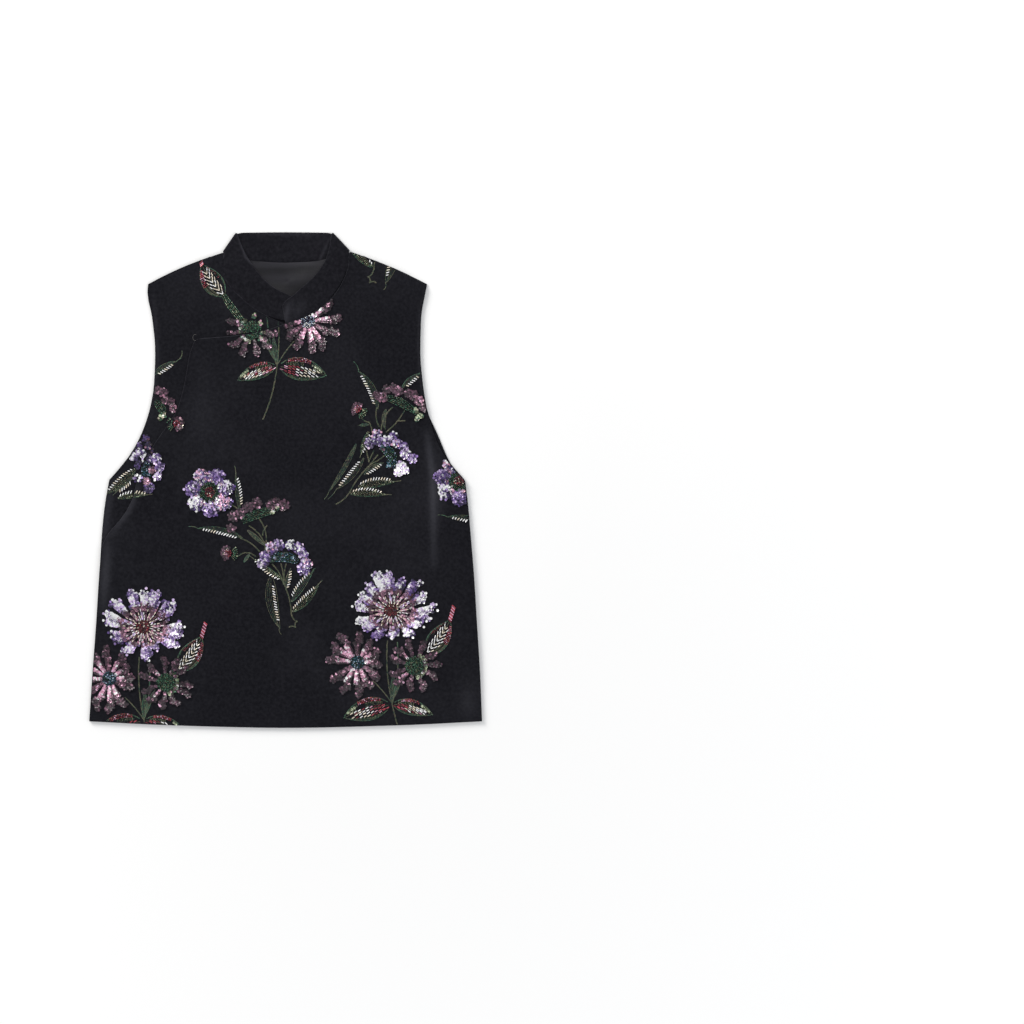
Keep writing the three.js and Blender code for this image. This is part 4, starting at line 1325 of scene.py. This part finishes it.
BACK_CLOTH = Cloth([back_panel], "back")
CLOTH_OF = {"front": FRONT_CLOTH, "back": BACK_CLOTH}
SEWN_TO = {"front": {under_front.name, lap_front.name}, "back": {back_panel.name}}
sewn_down = {(side, kind): [] for side in ("front", "back") for kind in SHAPES}


def lay_spray(side, spray, origin, turn=0.0, mirrored=False):
    """Places a spray, mirrored first if asked; the back is laid out as it is seen from behind."""
    cloth = CLOTH_OF[side]
    for kind, x, y, heading, size, colour, lift, lean, roll in spray.sewn:
        if mirrored:
            x, heading, roll = -x, math.pi - heading, -roll
        at_x = origin[0] + x * math.cos(turn) - y * math.sin(turn)
        at_y = origin[1] + x * math.sin(turn) + y * math.cos(turn)
        heading += turn
        if side == "back":
            at_x, heading = -at_x, math.pi - heading
        owner, place, normal = cloth.under(at_x, at_y)
        if owner not in SEWN_TO[side]:
            continue
        reach = size[0] * 0.8 + SEAM_MARGIN
        ring = [cloth.under(*out_from(at_x, at_y, angle, reach)) for angle in range(6)]
        if all(name == owner and abs(near.z - place.z) < 1 for name, near, _ in ring):
            sewn_down[side, kind].append((*place, *normal, heading, *size, lift, lean, roll, *colour))


def unit(rows):
    return rows / np.linalg.norm(rows, axis=1, keepdims=True)


def joined_piece(side, kind, plural, material):
    """Every small part of one kind on one side, as one mesh with a colour for each part."""
    rows = np.array(sewn_down[side, kind])
    place, normal, heading, size = rows[:, 0:3], unit(rows[:, 3:6]), rows[:, 6], rows[:, 7:10]
    lift, lean, roll, colour = rows[:, 10:11], rows[:, 11:12], rows[:, 12:13], rows[:, 13:16]
    flat_heading = np.stack([np.cos(heading), np.sin(heading), np.zeros(len(rows))], axis=1)
    ahead = unit(flat_heading - normal * np.sum(flat_heading * normal, axis=1, keepdims=True))
    aside = np.cross(normal, ahead)
    ahead, up = ahead * np.cos(lean) + normal * np.sin(lean), normal * np.cos(lean) - ahead * np.sin(lean)
    aside, up = aside * np.cos(roll) + up * np.sin(roll), up * np.cos(roll) - aside * np.sin(roll)
    shape, faces = SHAPES[kind]
    axes = np.stack([ahead, aside, up], axis=1)
    points = np.einsum("pk,nk,nkx->npx", shape, size, axes) + (place + normal * lift)[:, None, :]
    if side == "back":
        points[:, :, 2] = BACK_UNDERSIDE - (BACK_UNDERSIDE - points[:, :, 2]) * BACK_FLATTENING
        points[:, :, 2] = np.maximum(points[:, :, 2], LOWEST_STITCH)
    count = len(shape)
    all_faces = [tuple(n * count + corner for corner in face) for n in range(len(rows)) for face in faces]
    mesh = bpy.data.meshes.new(f"{side}_{plural}")
    mesh.from_pydata((points.reshape(-1, 3) * MM).tolist(), [], all_faces)
    piece = bpy.data.objects.new(mesh.name, mesh)
    bpy.context.scene.collection.objects.link(piece)
    paint_tint(piece, np.repeat(colour, count, axis=0))
    piece.data.materials.append(material)
    pick(piece)
    if kind == "sequin":
        bpy.ops.object.shade_flat()
    else:
        bpy.ops.object.shade_smooth_by_angle(angle=math.radians(60))
    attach(piece, "root")


TOP_LEAF = ((62, 98), (86, 138))
# Each spray is followed by its place, and where it needs them by its turn and whether it is mirrored.
FRONT_SPRAYS = (
    (bouquet(11, shine=-1.1, glints=0.4), (138.5, -289.9)),
    (bouquet(12, shine=3.0), (-184.2, -311.4)),
    (bouquet(13, with_great_flower=False, upper_leaf=TOP_LEAF), (-11, 149.5), math.radians(5), True),
    (field_spray(21), (-30.6, -104)),
    (field_spray(22, with_bud=False), (293.5, -89)),
    (field_spray(25), (153, 344), 0, True),
    (armhole_spray(31), (116.4, 65)),
    (turned_spray(32), (-203.5, 75)),
)
BACK_SPRAYS = (
    (bouquet(14, shine=2.4), (-131, -283)),
    (bouquet(15, shine=2.9), (195, -281)),
    (bouquet(16, shine=2.0), (54.6, 158.6), math.radians(4), True),
    (field_spray(23), (36.4, -83.2)),
    (field_spray(24), (-288.6, -91)),
    (field_spray(26), (-186, 352)),
    (armhole_spray(33), (-134, 72.8)),
    (armhole_spray(34), (182, 72.8)),
)
for spray_and_place in FRONT_SPRAYS:
    lay_spray("front", *spray_and_place)
for spray_and_place in BACK_SPRAYS:
    lay_spray("back", *spray_and_place)

SEQUIN_FOIL = tinted_material(
    "sequin foil", roughness=0.3, metallic=0.3, coat=0.4, grain=700.0, unevenness=0.3
)
BEAD_GLASS = tinted_material(
    "bead glass", roughness=0.16, metallic=0.0, coat=0.5, grain=900.0, unevenness=0.2
)
for side in ("front", "back"):
    joined_piece(side, "sequin", "sequins", SEQUIN_FOIL)
    joined_piece(side, "bead", "beads", BEAD_GLASS)
    joined_piece(side, "bugle", "bugles", BEAD_GLASS)
    joined_piece(side, "stitch", "stitches", THREAD)

# Studio. A pale table, one large soft lamp at the upper left, a weaker one opposite, and a pale room.
# The camera looks straight down, framed so that one millimetre is as many pixels as in the photograph.
PHOTO_WIDTH = 1024
MM_PER_PIXEL = 1.3
JACKET_MIDDLE_X_PIXEL = 285.5
JACKET_MIDDLE_Y_PIXEL = 480
CAMERA_HEIGHT = 6.0
TABLE_SIZE = 12.0
TABLE_TOP = -0.0004
FRAMED_HEIGHT = 0.7

deselect()
bpy.ops.mesh.primitive_plane_add(size=TABLE_SIZE, location=(0, 0, TABLE_TOP))
table_top = bpy.context.object
table_top.name = "table_top"
table_finish, tree, table_shader = new_material("pale table")
geometry = add_node(tree, "NewGeometry").outputs
distance = add_node(tree, "VectorMath", {0: geometry["Position"]}, operation="LENGTH").outputs["Value"]
table_look = {
    "Base Color": (0.95, 0.95, 0.945, 1),
    "Emission Color": (1, 1, 1, 1),
    "Emission Strength": rescaled(tree, distance, (0.07, 0.17), (0.4, 1.2)),
    "Roughness": 0.8,
    "Specular IOR Level": 0.1,
}
feed(tree, table_shader, table_look)
clear = add_node(tree, "BsdfTransparent").outputs[0]
from_above = table_shader.outputs[0]
seen = add_node(tree, "MixShader", {0: geometry["Backfacing"], 1: from_above, 2: clear}).outputs[0]
feed(tree, tree.nodes["Material Output"], {"Surface": seen})
table_top.data.materials.append(table_finish)


def soft_lamp(name, place, size, power, warmth):
    deselect()
    bpy.ops.object.light_add(type="AREA", location=place)
    lamp = bpy.context.object
    lamp.name = name
    lamp.rotation_euler = (-Vector(place)).to_track_quat("-Z", "Y").to_euler()
    lamp.data.shape = "DISK"
    lamp.data.size = size
    lamp.data.energy = power
    lamp.data.color = warmth


soft_lamp("key_lamp", (-3.0, 3.2, 2.15), size=2.5, power=208.0, warmth=(1.0, 0.98, 0.95))
soft_lamp("fill_lamp", (2.6, -1.4, 3.6), size=2.6, power=30.0, warmth=(0.95, 0.97, 1.0))
room = bpy.data.worlds.new("pale room")
room.use_nodes = True
sky = room.node_tree.nodes["Background"]
feed(room.node_tree, sky, {"Color": (0.97, 0.98, 1.0, 1), "Strength": 0.56})
bpy.context.scene.world = room

camera_x = (PHOTO_WIDTH / 2 - JACKET_MIDDLE_X_PIXEL) * MM_PER_PIXEL * MM
camera_y = (JACKET_MIDDLE_Y_PIXEL - PHOTO_WIDTH / 2) * MM_PER_PIXEL * MM
lens_data = bpy.data.cameras.new("camera")
camera = bpy.data.objects.new("camera", lens_data)
bpy.context.scene.collection.objects.link(camera)
camera.location = (camera_x, camera_y, CAMERA_HEIGHT)
framed_distance = CAMERA_HEIGHT - cad_high[2] * FRAMED_HEIGHT
lens_data.lens = lens_data.sensor_width * framed_distance / (PHOTO_WIDTH * MM_PER_PIXEL * MM)
bpy.context.scene.camera = camera
bpy.context.scene.view_settings.view_transform = "Standard"
